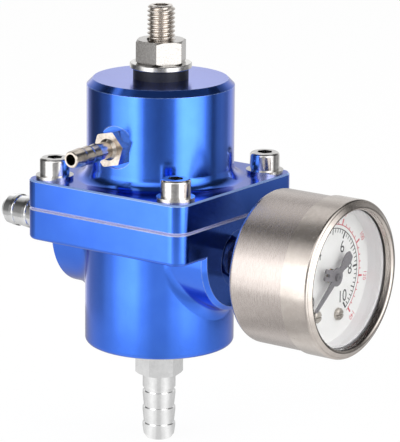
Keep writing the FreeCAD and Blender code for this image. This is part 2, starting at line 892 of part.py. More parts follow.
def main_spring():
    """Compression spring between the plate and its cap."""
    rise = d.spring_length - d.spring_wire * 2
    helix = new("Part::Helix", "SpringHelix")
    bind(helix, "Pitch", rise / d.spring_coils)
    bind(helix, "Height", rise)
    bind(helix, "Radius", d.spring_radius)
    wire = new("Part::Circle", "SpringWire")
    bind(wire, "Radius", d.spring_wire)
    put(wire, (d.spring_radius, zero, zero), Rotation(Vector(1, 0, 0), 90))
    spring = new("Part::Sweep", "MainSpring")
    spring.Sections = [wire]
    spring.Spine = (helix, [])
    spring.Solid = True
    spring.Frenet = True
    put(spring, (zero, zero, plate_top + d.spring_wire))
    piece(spring, "main_spring")


def spring_cap():
    """Turned cap that centres the top of the spring and takes the end of the adjusting screw."""
    item = turned("SpringCap", [
        (zero, -d.cap_spigot),
        (d.cap_spigot_radius - d.edge_break, -d.cap_spigot),
        (d.cap_spigot_radius, d.edge_break - d.cap_spigot),
        (d.cap_spigot_radius, zero),
        (d.cap_radius, zero),
        (d.cap_radius, d.cap_thickness),
        (d.cap_recess_radius, d.cap_thickness),
        (d.cap_recess_radius, d.cap_thickness - d.cap_recess),
        (zero, d.cap_thickness - d.cap_recess),
    ])
    put(item, (zero, zero, cap_level))
    piece(item, "spring_cap")


def adjuster():
    """Socket set screw that loads the spring, with its seal, washer and lock nut on the bonnet."""
    seat = cap_level + d.cap_thickness - d.cap_recess
    length = bonnet_top + d.adjuster_top - seat
    blank = turned("AdjusterBlank", [
        (zero, zero),
        (d.adjuster_dog_radius, zero),
        (d.adjuster_dog_radius, d.adjuster_dog),
        (d.adjuster_radius, d.adjuster_dog + d.adjuster_chamfer),
        (d.adjuster_radius, length - d.adjuster_chamfer),
        (d.adjuster_radius - d.adjuster_chamfer, length),
        (zero, length),
    ])
    socket = hexagon("AdjusterSocket", d.adjuster_socket, d.adjuster_socket_depth * 2,
                     (zero, zero, length - d.adjuster_socket_depth))
    screw = less("AdjustingScrew", blank, socket)
    put(screw, (zero, zero, seat))
    piece(screw, "adjusting_screw")

    hole = d.adjuster_radius + d.adjuster_gap
    seal = ring("SealWasher", hole, d.seal_radius, d.seal_thickness)
    put(seal, (zero, zero, bonnet_top))
    piece(seal, "seal_washer")
    edge = d.edge_break / 2
    washer = turned("LockWasher", [
        (hole, zero),
        (d.lock_washer_radius - edge, zero),
        (d.lock_washer_radius, edge),
        (d.lock_washer_radius, d.lock_washer_thickness - edge),
        (d.lock_washer_radius - edge, d.lock_washer_thickness),
        (hole, d.lock_washer_thickness),
    ])
    put(washer, (zero, zero, washer_level))
    piece(washer, "lock_washer")
    blank = hexagon("LockNutBlank", d.nut_hex, d.nut_height,
                    turn=Rotation(Vector(0, 0, 1), sizes["nut_turn"]))
    trim = hex_edge("LockNutEdge", d.nut_hex, d.nut_height, d.nut_chamfer)
    bore = rod("LockNutBore", hole, d.nut_height * 2, (0, 0, -d.nut_height / 2))
    nut = less("LockNut", common("LockNutShape", blank, trim), bore)
    put(nut, (zero, zero, nut_level))
    piece(nut, "lock_nut")


# Gauge pieces are drawn facing the viewer: X to the right of the dial, Y up it and Z out of it,
# with Z counted from the main axis. This frame is then laid along the world's +X.
facing = Rotation(Vector(1, 1, 1), 120)
case_floor = gauge_back + d.case_wall
case_inner = d.gauge_radius - d.bezel_wall - d.case_wall
rim_level = gauge_front - d.case_rim
lens_level = rim_level + d.gasket_thickness
dial_face = gauge_front - d.dial_drop
dial_back = dial_face - d.dial_thickness
rear_plate = gauge_back + d.movement_level
front_plate = dial_back - d.movement_plate
gear_level = rear_plate + d.movement_plate + d.gear_rise
link_level = gear_level + d.gear_width + d.link_gap
pin_top = link_level + d.link_thickness + d.link_gap * 4
tube_middle = gauge_back + d.tube_level
pinion_radius = d.gear_module * d.pinion_teeth / 2
sector_radius = d.gear_module * d.sector_teeth / 2
pivot_drop = pinion_radius + sector_radius
tip_x = d.tube_radius * d.tube_end_angle.cosine()
tip_y = d.tube_radius * d.tube_end_angle.sine()
tail_x = d.tail_reach * d.tail_angle.cosine()
tail_y = d.tail_reach * d.tail_angle.sine() - pivot_drop


def gauge_piece(item, label):
    put(item, (zero, zero, gauge_level), facing)
    piece(item, label)


def gauge_shell():
    """Pressed case, its rolled bezel, and the lens with its gasket and spacer."""
    outer, back = d.gauge_radius - d.bezel_wall, gauge_back
    bend = d.case_round
    case = turned("CaseShell", [
        (d.socket_neck + d.inside_gap, back),
        (outer - bend, back),
        Arc(bend, (outer - bend, back + bend)),
        (outer, back + bend),
        (outer, rim_level),
        (case_inner, rim_level),
        (case_inner, back + bend),
        Arc(bend - d.case_wall, (outer - bend, back + bend)),
        (outer - bend, case_floor),
        (d.socket_neck + d.inside_gap, case_floor),
    ])
    holes = [rod(f"CaseScrewHole{n}", d.case_screw_radius + d.inside_gap, d.case_wall * 3,
                 (way * d.case_screw_spread, zero, back - d.case_wall))
             for n, way in ((1, -1), (2, 1))]
    gauge_piece(less("GaugeCase", case, *holes), "gauge_case")

    wall, bend, fold = d.bezel_wall, d.bezel_round, d.bezel_wall
    outer, front, opening = d.gauge_radius, gauge_front, d.bezel_opening
    shoulder = front - d.bezel_lip
    bezel = turned("GaugeBezel", [
        (outer - wall, front - d.bezel_skirt),
        (outer, front - d.bezel_skirt),
        (outer, shoulder - bend),
        Arc(bend, (outer - bend, shoulder - bend)),
        (outer - bend, shoulder),
        (opening + fold * 2, front),
        Arc(fold * 2, (opening + fold * 2, front - fold * 2)),
        (opening, front - fold * 2),
        (opening, front - d.bezel_fold),
        (opening + wall, front - d.bezel_fold),
        (opening + wall, front - fold * 2),
        Arc(fold, (opening + fold * 2, front - fold * 2)),
        (opening + fold * 2, front - wall),
        (outer - bend, shoulder - wall),
        Arc(bend - wall, (outer - bend, shoulder - bend)),
        (outer - wall, shoulder - bend),
    ])
    gauge_piece(bezel, "gauge_bezel")

    seat = d.gauge_radius - d.bezel_wall - d.inside_gap
    lens = rod("GaugeLens", seat, d.lens_thickness)
    put(lens, (lens_level, zero, gauge_level), facing)
    piece(lens, "gauge_lens")
    gasket = turned("LensGasket", [
        (case_inner, rim_level), (seat, rim_level), (seat, lens_level), (case_inner, lens_level)])
    gauge_piece(gasket, "lens_gasket")
    rim = case_inner - d.inside_gap
    spacer = turned("LensSpacer", [
        (rim - d.spacer_wall, dial_face),
        (rim, dial_face),
        (rim, lens_level),
        (rim - d.spacer_wall + d.edge_break, lens_level),
        (rim - d.spacer_wall, lens_level - d.edge_break),
    ])
    gauge_piece(spacer, "lens_spacer")


def slotted_screw(name, head, height, shank, length, slot):
    """A cheese head screw that points down its own Z, with a slot across its head."""
    blank = turned(name + "Blank", [
        (zero, -length),
        (shank, -length),
        (shank, zero),
        (head, zero),
        (head, height * 0.7),
        (head - height * 0.3, height),
        (zero, height),
    ])
    groove = block(name + "Slot", head * 3, slot, height, (zero, zero, height * 0.5))
    return less(name, blank, groove)


dial_screw_spots = (
    (d.dial_screw_right, -d.dial_screw_right_drop),
    (-d.dial_screw_left, -d.dial_screw_left_drop),
)


def gauge_face():
    """Printed dial with its two screws, and the pointer in front of it."""
    disc = turned("DialDisc", [
        (d.dial_hole, dial_back),
        (case_inner - d.inside_gap, dial_back),
        (case_inner - d.inside_gap, dial_face),
        (d.dial_hole, dial_face),
    ])
    holes = [rod(f"DialHole{n}", d.dial_screw_radius + d.thread_gap, d.dial_thickness * 3,
                 (*spot, dial_back - d.dial_thickness))
             for n, spot in enumerate(dial_screw_spots, 1)]
    gauge_piece(less("GaugeDial", disc, *holes), "gauge_dial")
    for number, (right, up) in enumerate(dial_screw_spots, 1):
        screw = slotted_screw(f"DialScrew{number}", d.dial_screw_head, d.dial_screw_head_height,
                              d.dial_screw_radius, d.dial_thickness + d.movement_plate,
                              d.dial_screw_slot)
        put(screw, (dial_face, right, gauge_level + up), facing)
        piece(screw, f"dial_screw_{number}")

    level, thick = dial_face + d.pointer_rise - d.pointer_thickness, d.pointer_thickness
    tail, wide, neck = d.pointer_tail, d.pointer_tail_width, d.pointer_tail_neck
    blade = new("PartDesign::Body", "PointerBlade")
    pad(blade, "PointerBladePad", outline(blade, "PointerBladeOutline", [[
        (d.pointer_root, zero),
        (d.pointer_end, d.pointer_length - d.pointer_end),
        (zero, d.pointer_length),
        (-d.pointer_end, d.pointer_length - d.pointer_end),
        (-d.pointer_root, zero),
        (-neck, zero),
        (-neck, -tail * 0.4),
        (-wide, -tail * 0.62),
        (-wide, -tail * 0.86),
        (-wide * 0.6, -tail),
        (wide * 0.6, -tail),
        (wide, -tail * 0.86),
        (wide, -tail * 0.62),
        (neck, -tail * 0.4),
        (neck, zero),
    ]], "XY_Plane"), thick)
    put(blade, (zero, zero, level), spin=-d.pointer_angle)
    lug = new("PartDesign::Body", "PointerLug")
    half, slot = d.lug_width / 2, d.lug_slot / 2
    reach, depth = d.lug_reach, d.lug_slot_depth
    pad(lug, "PointerLugPad", outline(lug, "PointerLugOutline", [[
        (-half * 0.5, zero),
        (half * 0.5, zero),
        (half, reach * 0.5),
        (half, reach - half * 0.3),
        (half * 0.7, reach),
        (slot, reach),
        (slot, reach - depth),
        (-slot, reach - depth),
        (-slot, reach),
        (-half * 0.7, reach),
        (-half, reach - half * 0.3),
        (-half, reach * 0.5),
    ]], "XY_Plane"), thick)
    put(lug, (zero, zero, level), spin=-d.lug_angle)
    hub = turned("PointerHub", [
        (d.arbor_radius, dial_face + d.inside_gap),
        (d.pointer_collar, dial_face + d.inside_gap),
        (d.pointer_collar, level),
        (d.pointer_hub, level),
        (d.pointer_hub, level + thick),
        (d.pointer_boss, level + thick),
        (d.pointer_boss, level + thick + d.pointer_boss_height),
        (d.arbor_radius, level + thick + d.pointer_boss_height),
    ])
    solid = fused("PointerPlate", blade, lug)
    bored = less("PointerBored", solid, rod("PointerHole", d.pointer_collar, thick * 3,
                                            (zero, zero, level - thick)))
    gauge_piece(fused("GaugePointer", bored, hub), "gauge_pointer")


def oval_ring(name, swell, sweep, spin):
    """Part of a ring whose section is a flat oval, thicker by a swell than the tube's bore."""
    half, flat = d.tube_half_thickness + swell, d.tube_half_width - d.tube_half_thickness
    radius, level = d.tube_radius, tube_middle
    item = new("PartDesign::Body", name)
    section = outline(item, name + "Outline", [[
        (radius - half, level - flat),
        Arc(half, (radius, level - flat)),
        (radius, level - flat - half),
        Arc(half, (radius, level - flat)),
        (radius + half, level - flat),
        (radius + half, level + flat),
        Arc(half, (radius, level + flat)),
        (radius, level + flat + half),
        Arc(half, (radius, level + flat)),
        (radius - half, level + flat),
    ]])
    revolve(item, name + "Turn", section, angle=sweep)
    return put(item, spin=spin)


def gauge_works():
    """Socket, Bourdon tube with its tip, and the movement that turns the arbor."""
    foot = port_floor + d.stem_standoff - d.stem_length
    hex_start = port_floor + d.stem_standoff
    thread, edge = d.port_radius - d.thread_gap, d.edge_break
    flange_top = case_floor + d.socket_flange_thickness
    core = turned("SocketCore", [
        (zero, foot),
        (thread - edge, foot),
        (thread, foot + edge),
        (thread, gauge_back),
        (d.socket_neck, gauge_back),
        (d.socket_neck, case_floor),
        (d.socket_flange, case_floor),
        (d.socket_flange, flange_top),
        (d.socket_column, flange_top),
        (d.socket_column, rear_plate),
        (zero, rear_plate),
    ])
    nut = common("SocketHex", hexagon("SocketHexBlank", d.stem_hex, gauge_back - hex_start,
                                      (zero, zero, hex_start), Rotation(Vector(0, 0, 1), 30)),
                 put(hex_edge("SocketHexEdge", d.stem_hex, gauge_back - hex_start, edge),
                     (zero, zero, hex_start)))
    arm_reach = d.tube_radius + d.tube_half_thickness * 2
    tilt = d.tube_end_angle + d.tube_sweep_angle + d.tube_chamber_angle
    arm = new("Part::Box", "SocketArm")
    bind(arm, "Length", arm_reach)
    bind(arm, "Width", d.arm_width)
    bind(arm, "Height", rear_plate - flange_top - d.arm_drop)
    put(arm, (zero, -d.arm_width / 2, flange_top))
    cross = rod("SocketCrossBore", d.arm_bore, d.tube_radius, (zero, zero, tube_middle),
                Rotation(Vector(0, 1, 0), 90))
    drilled = less("SocketCrossDrilled", fused("SocketColumn", core, arm), cross)
    put(drilled, spin=tilt)
    main = rod("SocketBore", d.stem_bore, tube_middle - foot + d.arm_bore, (zero, zero, foot))
    pocket = oval_ring("SocketPocket", zero, d.tube_sweep_angle / 4 + d.tube_chamber_angle,
                       d.tube_end_angle + d.tube_sweep_angle * 0.75)
    taps = [rod(f"SocketTap{n}", d.case_screw_radius + d.thread_gap, d.socket_flange_thickness * 2,
                (way * d.case_screw_spread, zero, case_floor - d.socket_flange_thickness / 2))
            for n, way in ((1, -1), (2, 1))]
    whole = fused("SocketWhole", drilled, nut)
    gauge_piece(less("GaugeSocket", whole, main, pocket, *taps), "gauge_socket")
    for number, way in ((1, -1), (2, 1)):
        screw = slotted_screw(f"CaseScrew{number}", d.case_screw_head, d.case_screw_head_height,
                              d.case_screw_radius, d.case_wall + d.socket_flange_thickness,
                              d.case_screw_slot)
        put(screw, (gauge_back, way * d.case_screw_spread, gauge_level),
            Rotation(Vector(0, 1, 0), -90))
        piece(screw, f"case_screw_{number}")

    tube = less("BourdonTube", oval_ring("TubeOuter", zero, d.tube_sweep_angle, d.tube_end_angle),
                oval_ring("TubeInner", -d.tube_wall, d.tube_sweep_angle, d.tube_end_angle))
    gauge_piece(tube, "bourdon_tube")
    tip_base = tube_middle - d.tip_height / 2
    cap = block("TipBlock", d.tip_width, d.tip_length, d.tip_height, (d.tube_radius, zero, tip_base))
    capped = less("TipCapped", cap, oval_ring("TipPocket", zero, d.tube_sweep_angle / 4, zero))
    put(capped, spin=d.tube_end_angle)
    pin = rod("TipPin", d.pin_radius, pin_top - tip_base - d.tip_height,
              (tip_x, tip_y, tip_base + d.tip_height))
    gauge_piece(fused("TubeTip", capped, pin), "tube_tip")


def movement():
    """Two plates on pillars, with a sector that drives the pinion of the pointer's arbor."""
    pivots = ((zero, zero), (zero, -pivot_drop))
    pillars = ((d.pillar_right, d.pillar_above), (-d.pillar_right, -d.pillar_below))
    for name, label, level, screws in (
            ("RearPlate", "movement_rear_plate", rear_plate, ()),
            ("FrontPlate", "movement_front_plate", front_plate, dial_screw_spots)):
        body = new("PartDesign::Body", name)
        wide, high, low, bend = d.plate_half_width, d.plate_above, d.plate_below, d.plate_corner
        frame = outline(body, name + "Outline", [[
            (wide, bend - low),
            (wide, high - bend),
            Arc(bend, (wide - bend, high - bend)),
            (wide - bend, high),
            (bend - wide, high),
            Arc(bend, (bend - wide, high - bend)),
            (-wide, high - bend),
            (-wide, bend - low),
            Arc(bend, (bend - wide, bend - low)),
            (bend - wide, -low),
            (wide - bend, -low),
            Arc(bend, (wide - bend, bend - low)),
        ]], "XY_Plane")
        pad(body, name + "Pad", frame, d.movement_plate)
        put(body, (zero, zero, level))
        holes = [rod(f"{name}Pivot{n}", d.arbor_radius + d.arbor_gap, d.movement_plate * 3,
                     (*spot, level - d.movement_plate)) for n, spot in enumerate(pivots, 1)]
        holes += [rod(f"{name}Screw{n}", d.dial_screw_radius + d.thread_gap, d.movement_plate * 3,
                      (*spot, level - d.movement_plate)) for n, spot in enumerate(screws, 1)]
        gauge_piece(less(name + "Drilled", body, *holes), label)
    for number, spot in enumerate(pillars, 1):
        foot = rear_plate + d.movement_plate
        pillar = rod(f"MovementPillar{number}", d.pillar_radius, front_plate - foot)
        put(pillar, (foot, spot[0], gauge_level + spot[1]), facing)
        piece(pillar, f"movement_pillar_{number}")


def tooth_flank(teeth, module, top, bottom):
    """One side of a tooth as radius and half angle in degrees, from its root to its tip."""
    pitch = teeth * module / 2
    lean = math.radians(sizes["pressure_angle"])
    base = pitch * math.cos(lean)
    rest = math.tan(lean) - lean
    half = math.pi / 2 / teeth - sizes["gear_backlash"] / 2 / pitch
    flank = []
    for radius in (pitch - bottom, base, pitch, pitch + top / 2, pitch + top):
        if radius < pitch - bottom:
            continue
        lean = math.acos(min(1, base / radius))
        flank.append((radius, math.degrees(half + rest - math.tan(lean) + lean)))
    return flank


def toothed(name, angles, flank, closing, width, at, turn_by):
    """A flat toothed plate: involute teeth at given angles, closed by the points that end it."""
    points = []
    for angle in angles:
        points += [(radius, angle - half) for radius, half in flank]
        points += [(radius, angle + half) for radius, half in reversed(flank)]
    points += closing
    corners = [Vector(radius * math.cos(math.radians(angle)), radius * math.sin(math.radians(angle)), 0)
               for radius, angle in points]
    item = new("Part::Feature", name)
    face = Part.Face(Part.makePolygon(corners + corners[:1]))
    item.Shape = face.extrude(Vector(0, 0, width))
    return put(item, at, Rotation(Vector(0, 0, 1), turn_by))


def gears():
    """Pinion on the pointer's arbor, the sector that turns it and the link to the tube's tip."""
    module, width = sizes["gear_module"], sizes["gear_width"]
    teeth = int(sizes["pinion_teeth"])
    flank = tooth_flank(teeth, module, sizes["pinion_tooth_top"], sizes["tooth_bottom"])
    ring_of_teeth = toothed("PinionTeeth", [360 / teeth * n for n in range(teeth)], flank, [],
                            width, (zero, zero, gear_level), -90)
    arbor_top = dial_face + d.pointer_rise + d.pointer_boss_height * 0.8
    arbor = rod("PinionArbor", d.arbor_radius, arbor_top - rear_plate, (zero, zero, rear_plate))
    gauge_piece(fused("Pinion", ring_of_teeth, arbor), "pinion_arbor")

    teeth = int(sizes["sector_teeth"])
    step = 360 / teeth
    flank = tooth_flank(teeth, module, sizes["sector_tooth_top"], sizes["tooth_bottom"])
    first = -sizes["sector_travel_angle"] - sizes["sector_margin_angle"]
    count = int((sizes["sector_travel_angle"] + sizes["sector_margin_angle"] * 2) / step)
    start = round(first / step - 0.5) * step + step / 2
    angles = [start + step * n for n in range(count)]
    inner = flank[0][0] - sizes["sector_rim"]
    spread = [angles[-1] + step * 0.6 - (angles[-1] - angles[0] + step * 1.2) * n / 8
              for n in range(9)]
    closing = [(flank[0][0], spread[0])] + [(inner, angle) for angle in spread]
    closing += [(flank[0][0], spread[-1])]
    rim = toothed("SectorRim", angles, flank, closing, width, (zero, -pivot_drop, gear_level), 90)
    middle = 90 + (angles[0] + angles[-1]) / 2
    spread = (angles[-1] - angles[0]) / 2
    arms = []
    for number, angle in enumerate((middle - spread * 0.8, middle + spread * 0.8), 1):
        arm = new("PartDesign::Body", f"SectorArm{number}")
        half, long = d.sector_arm / 2, sector_radius - d.sector_rim
        pad(arm, f"SectorArmPad{number}", outline(arm, f"SectorArmOutline{number}", [[
            (zero, -half), (long, -half), (long, half), (zero, half)]], "XY_Plane"), d.gear_width)
        arms.append(put(arm, (zero, -pivot_drop, gear_level), Rotation(Vector(0, 0, 1), angle)))
    hub = rod("SectorHub", d.sector_hub, d.gear_width, (zero, -pivot_drop, gear_level))
    pivot = rod("SectorPivot", d.arbor_radius, front_plate + d.movement_plate - rear_plate,
                (zero, -pivot_drop, rear_plate))
    tail = new("Part::Box", "SectorTailBar")
    bind(tail, "Length", d.tail_reach)
    bind(tail, "Width", d.link_end * 2)
    bind(tail, "Height", d.gear_width)
    put(tail, (zero, -d.link_end, zero))
    tail_end = rod("SectorTailEnd", d.link_end, d.gear_width, (d.tail_reach, zero, zero))
    tail_pin = rod("SectorTailPin", d.pin_radius, pin_top - gear_level, (d.tail_reach, zero, zero))
    tail_whole = fused("SectorTail", tail, tail_end, tail_pin)
    put(tail_whole, (zero, -pivot_drop, gear_level), spin=d.tail_angle)
    gauge_piece(fused("SectorGear", rim, *arms, hub, pivot, tail_whole), "sector_gear")

    reach_x, reach_y = tip_x - tail_x, tip_y - tail_y
    reach = (reach_x * reach_x + reach_y * reach_y).root()
    bar = new("PartDesign::Body", "LinkBar")
    half = d.link_half_width
    slot = d.pin_radius + d.link_play
    pad(bar, "LinkBarPad", outline(bar, "LinkBarOutline", [
        [
            (zero, -half),
            (reach, -half),
            Arc(half, (reach, zero)),
            (reach + half, zero),
            Arc(half, (reach, zero)),
            (reach, half),
            (zero, half),
            Arc(half, (zero, zero)),
            (-half, zero),
            Arc(half, (zero, zero)),
        ],
        [
            (reach, -slot),
            Arc(slot, (reach, zero)),
            (reach + slot, zero),
            Arc(slot, (reach, zero)),
            (reach, slot),
            (reach - d.link_slot, slot),
            Arc(slot, (reach - d.link_slot, zero)),
            (reach - d.link_slot - slot, zero),
            Arc(slot, (reach - d.link_slot, zero)),
            (reach - d.link_slot, -slot),
        ],
    ], "XY_Plane"), d.link_thickness)
    put(bar, (tail_x, tail_y, link_level), spin=(reach_y / reach).arcsine())
    hole = rod("LinkHole", d.pin_radius + d.arbor_gap, d.link_thickness * 3,
               (tail_x, tail_y, link_level - d.link_thickness))
    gauge_piece(less("MovementLink", bar, hole), "movement_link")


lower_body()
spring_bonnet()
hose_thread = d.port_radius - d.thread_gap
barbed_fitting("return_barb", "hose", hose_thread, (zero, zero, grip_middle),
               Rotation(Vector(1, 0, 0), 180), d.return_hex_angle.number)
barbed_fitting("inlet_barb", "hose", hose_thread, (-flange_half, zero, parting - d.inlet_drop),
               Rotation(Vector(0, 1, 0), -90), 0)
barbed_fitting("vacuum_barb", "vacuum", d.vacuum_port - d.thread_gap,
               (zero, -vacuum_spot, parting + d.vacuum_height),
               Rotation(Vector(1, 0, 0), 90), d.vacuum_hex_angle.number)
flange_screws()
diaphragm()
valve_parts()
main_spring()
spring_cap()
adjuster()
gauge_shell()
gauge_face()
gauge_works()
movement()
gears()

doc.recompute()

faults = [item.Name for item in doc.Objects if {"Invalid", "Error"} & set(item.State)]
faults += [item.Label for item in pieces if item.Shape.isNull() or not item.Shape.isValid()]
if faults:
    raise RuntimeError("faulty pieces: " + ", ".join(faults))
for item in pieces:
    item.Shape.exportStep(f"parts/{item.Label}.step")
    print(item.Label, len(item.Shape.Solids), round(item.Shape.Volume, 2))
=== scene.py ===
from math import asin, cos, pi, radians, sin

import bmesh
import bpy
from mathutils import Matrix, Vector


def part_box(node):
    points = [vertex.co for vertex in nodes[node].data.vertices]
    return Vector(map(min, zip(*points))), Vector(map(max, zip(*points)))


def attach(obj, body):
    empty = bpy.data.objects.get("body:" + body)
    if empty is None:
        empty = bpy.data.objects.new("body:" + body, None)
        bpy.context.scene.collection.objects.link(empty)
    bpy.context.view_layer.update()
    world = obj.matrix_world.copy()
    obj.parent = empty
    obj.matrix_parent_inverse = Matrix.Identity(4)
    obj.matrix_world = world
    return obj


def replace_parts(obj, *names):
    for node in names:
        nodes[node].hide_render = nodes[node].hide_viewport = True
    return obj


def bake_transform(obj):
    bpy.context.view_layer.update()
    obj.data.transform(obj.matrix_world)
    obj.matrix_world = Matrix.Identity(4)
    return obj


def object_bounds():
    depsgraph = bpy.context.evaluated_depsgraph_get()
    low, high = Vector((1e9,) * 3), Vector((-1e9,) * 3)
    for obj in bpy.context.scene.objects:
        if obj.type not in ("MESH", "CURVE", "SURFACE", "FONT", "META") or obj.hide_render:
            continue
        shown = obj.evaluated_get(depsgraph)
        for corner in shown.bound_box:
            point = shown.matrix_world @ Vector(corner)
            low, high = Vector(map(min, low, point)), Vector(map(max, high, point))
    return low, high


mm = 0.001  # the frame is in metres, the sizes below are in millimetres
samePoint = 1e-7  # in metres, points closer than this are one point
mainAxis = {"cent": (0, 0, 0), "axis": (0, 0, 1)}

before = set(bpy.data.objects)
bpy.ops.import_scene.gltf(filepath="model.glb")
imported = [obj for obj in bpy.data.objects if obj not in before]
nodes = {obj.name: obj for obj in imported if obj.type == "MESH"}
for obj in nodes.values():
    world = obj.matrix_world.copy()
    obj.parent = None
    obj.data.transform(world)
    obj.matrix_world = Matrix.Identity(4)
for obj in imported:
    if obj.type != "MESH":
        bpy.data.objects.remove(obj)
cadBox = [list(corner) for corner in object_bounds()]
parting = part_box("spring_bonnet")[0].z  # height of the joint between the two flanges
print("frame loaded with", len(nodes), "solids")


def toLinear(hexColour):  # sRGB hex to the linear colour that sockets take
    parts = [int(hexColour[i : i + 2], 16) / 255 for i in (1, 3, 5)]
    return [c / 12.92 if c <= 0.04045 else ((c + 0.055) / 1.055) ** 2.4 for c in parts] + [1.0]


def fill(tree, node, sockets):  # links what another node gives and sets the rest
    for name, value in sockets.items():
        named = [s for s in node.inputs if s.enabled and s.name == name]
        socket = named[0] if named else node.inputs[name]
        if isinstance(value, bpy.types.NodeSocket):
            tree.links.new(value, socket)
        else:
            socket.default_value = toLinear(value) if isinstance(value, str) else value


def addNode(tree, kind, sockets=None, output=None, **settings):  # gives back the output named, or the first
    node = tree.nodes.new("ShaderNode" + kind)
    for name, value in settings.items():
        setattr(node, name, value)
    fill(tree, node, sockets or {})
    return node.outputs[output] if output else [s for s in node.outputs if s.enabled][0]


def addObject(name, data):
    made = bpy.data.objects.new(name, data)
    bpy.context.scene.collection.objects.link(made)
    return made


def addPiece(name, bm):
    mesh = bpy.data.meshes.new(name)
    bm.to_mesh(mesh)
    bm.free()
    return addObject(name, mesh)


# camera: a long lens, a little above the flange and to the right of the vacuum barb
cameraView = {
    "target": (9.227, 6.727, -4.94),  # its height is counted from the parting plane
    "azimuth": 36.10,
    "elevation": 14.06,
    "roll": 0.515,
    "distance": 835.1,
    "lens": 238.2,
    "sensorHeight": 36,
    "nearest": 10,
}


def makeCamera(view):
    turn = radians(view["azimuth"])
    rise = radians(view["elevation"])
    back = Vector((sin(turn) * cos(rise), -cos(turn) * cos(rise), sin(rise)))
    right = Vector((cos(turn), sin(turn), 0))
    axes = Matrix((right, back.cross(right), back)).transposed()
    axes = axes @ Matrix.Rotation(radians(view["roll"]), 3, "Z")
    camera = addObject("camera", bpy.data.cameras.new("camera"))
    camera.data.lens = view["lens"]
    camera.data.sensor_fit = "VERTICAL"
    camera.data.sensor_height = view["sensorHeight"]
    camera.data.clip_start = view["nearest"] * mm
    place = Vector((0, 0, parting)) + (Vector(view["target"]) + back * view["distance"]) * mm
    camera.matrix_world = Matrix.Translation(place) @ axes.to_4x4()
    bpy.context.scene.camera = camera


makeCamera(cameraView)

# studio: a white floor and world, soft lamps, and a tent of cloth and cards that only reflections see
studio = {
    "floorSize": 6000,
    "floorSquares": 8,
    "floorDrop": 0.02,  # how far the floor lies under the lowest point
    "floorPaint": "#f4f4f4",
    "floorRoughness": 0.9,
    "floorWhite": 1.02,
    "floorGlow": 0.93,  # how far the floor is its own white, the rest keeps the shadow
    "worldLight": 0.46,
    "brightest": 3.0,  # no tone below is above it
    "roundSteps": 96,
    "ringRadius": 150,
    "ringFoot": -12,
    "ringTop": 250,
    "footToMiddle": (16, 46),  # heights between which one set of tones gives way to the next
    "middleToTop": (96, 128),
    "ceilingRadius": 800,
    "ceilingCentre": (550, -519, 262),
    "floorCardRadius": 147,
    "floorCardDrop": 0.01,
    "wholeTurn": (-180, 180),
    # degrees round to the camera's right and brightness: floor card, then foot, middle and top of the ring
    "floorTones": [
        (-180, 0.5), (-150, 0.56), (-97, 0.76), (-45, 1.0), (-22, 0.84), (-8, 0.64), (8, 0.64),
        (22, 0.84), (45, 1.0), (97, 0.62), (150, 0.58), (180, 0.5),
    ],
    "footTones": [
        (-180, 0.75), (-150, 1.05), (-135, 0.7), (-124, 0.5), (-108, 0.48), (-95, 0.45), (-78, 0.8),
        (-52, 1.85), (-36, 2.2), (-22, 1.2), (-8, 0.82), (8, 0.82), (22, 1.3), (38, 1.9), (52, 1.65),
        (66, 1.0), (82, 0.3), (98, 0.05), (130, 0.08), (152, 0.4), (180, 0.75),
    ],
    "middleTones": [
        (-180, 0.68), (-164, 0.75), (-152, 1.25), (-136, 0.4), (-122, 0.11), (-106, 0.12), (-92, 0.28),
        (-80, 0.34), (-70, 1.6), (-52, 2.2), (-36, 3.0), (-28, 1.65), (-22, 0.44), (0, 0.28), (19, 0.48),
        (27, 2.3), (34, 2.95), (50, 2.85), (62, 2.25), (74, 0.6), (84, 0.12), (97, 0.4), (105, 0.44),
        (118, 0.36), (128, 0.7), (135, 0.9), (156, 0.85), (166, 0.7), (180, 0.68),
    ],
    "topTones": [
        (-180, 1.2), (-161, 1.0), (-151, 0.85), (-140, 0.62), (-129, 0.35), (-118, 0.06), (-92, 0.06),
        (-78, 0.4), (-62, 1.0), (-50, 1.5), (-36, 2.2), (-20, 1.9), (0, 1.2), (20, 1.9), (40, 2.3),
        (57, 2.4), (70, 1.3), (86, 0.06), (120, 0.06), (130, 0.35), (140, 0.65), (151, 0.8), (161, 1.0),
        (180, 1.2),
    ],
    "ceilingTones": [(-125, 0.1), (-98, 0.1), (-82, 0.3), (-66, 0.24), (-45, 0.1)],  # along x, in mm
    "topFade": [(96, 3.0), (136, 3.0), (171, 2.4), (214, 1.7), (250, 1.4)],  # by height, 3.0 leaves all
    "lampAim": 50,  # height of the point that the lamps turn to
    # name, degrees round from the camera, height angle, distance, size, watts
    "lamps": [
        ("keyLamp", -48, 30, 750, 500, 2.0),
        ("fillLamp", 52, 26, 750, 500, 1.5),
        ("topLamp", 170, 68, 700, 420, 1.2),
    ],
}


def seenPlainly(tree):  # 1 for the rays that show the background as it is
    rays = addNode(tree, "LightPath").node.outputs
    plain = addNode(
        tree, "Math", {0: rays["Is Camera Ray"], 1: rays["Is Glossy Ray"]}, operation="MAXIMUM"
    )
    return addNode(tree, "Math", {0: plain, 1: rays["Is Transmission Ray"]}, operation="MAXIMUM")


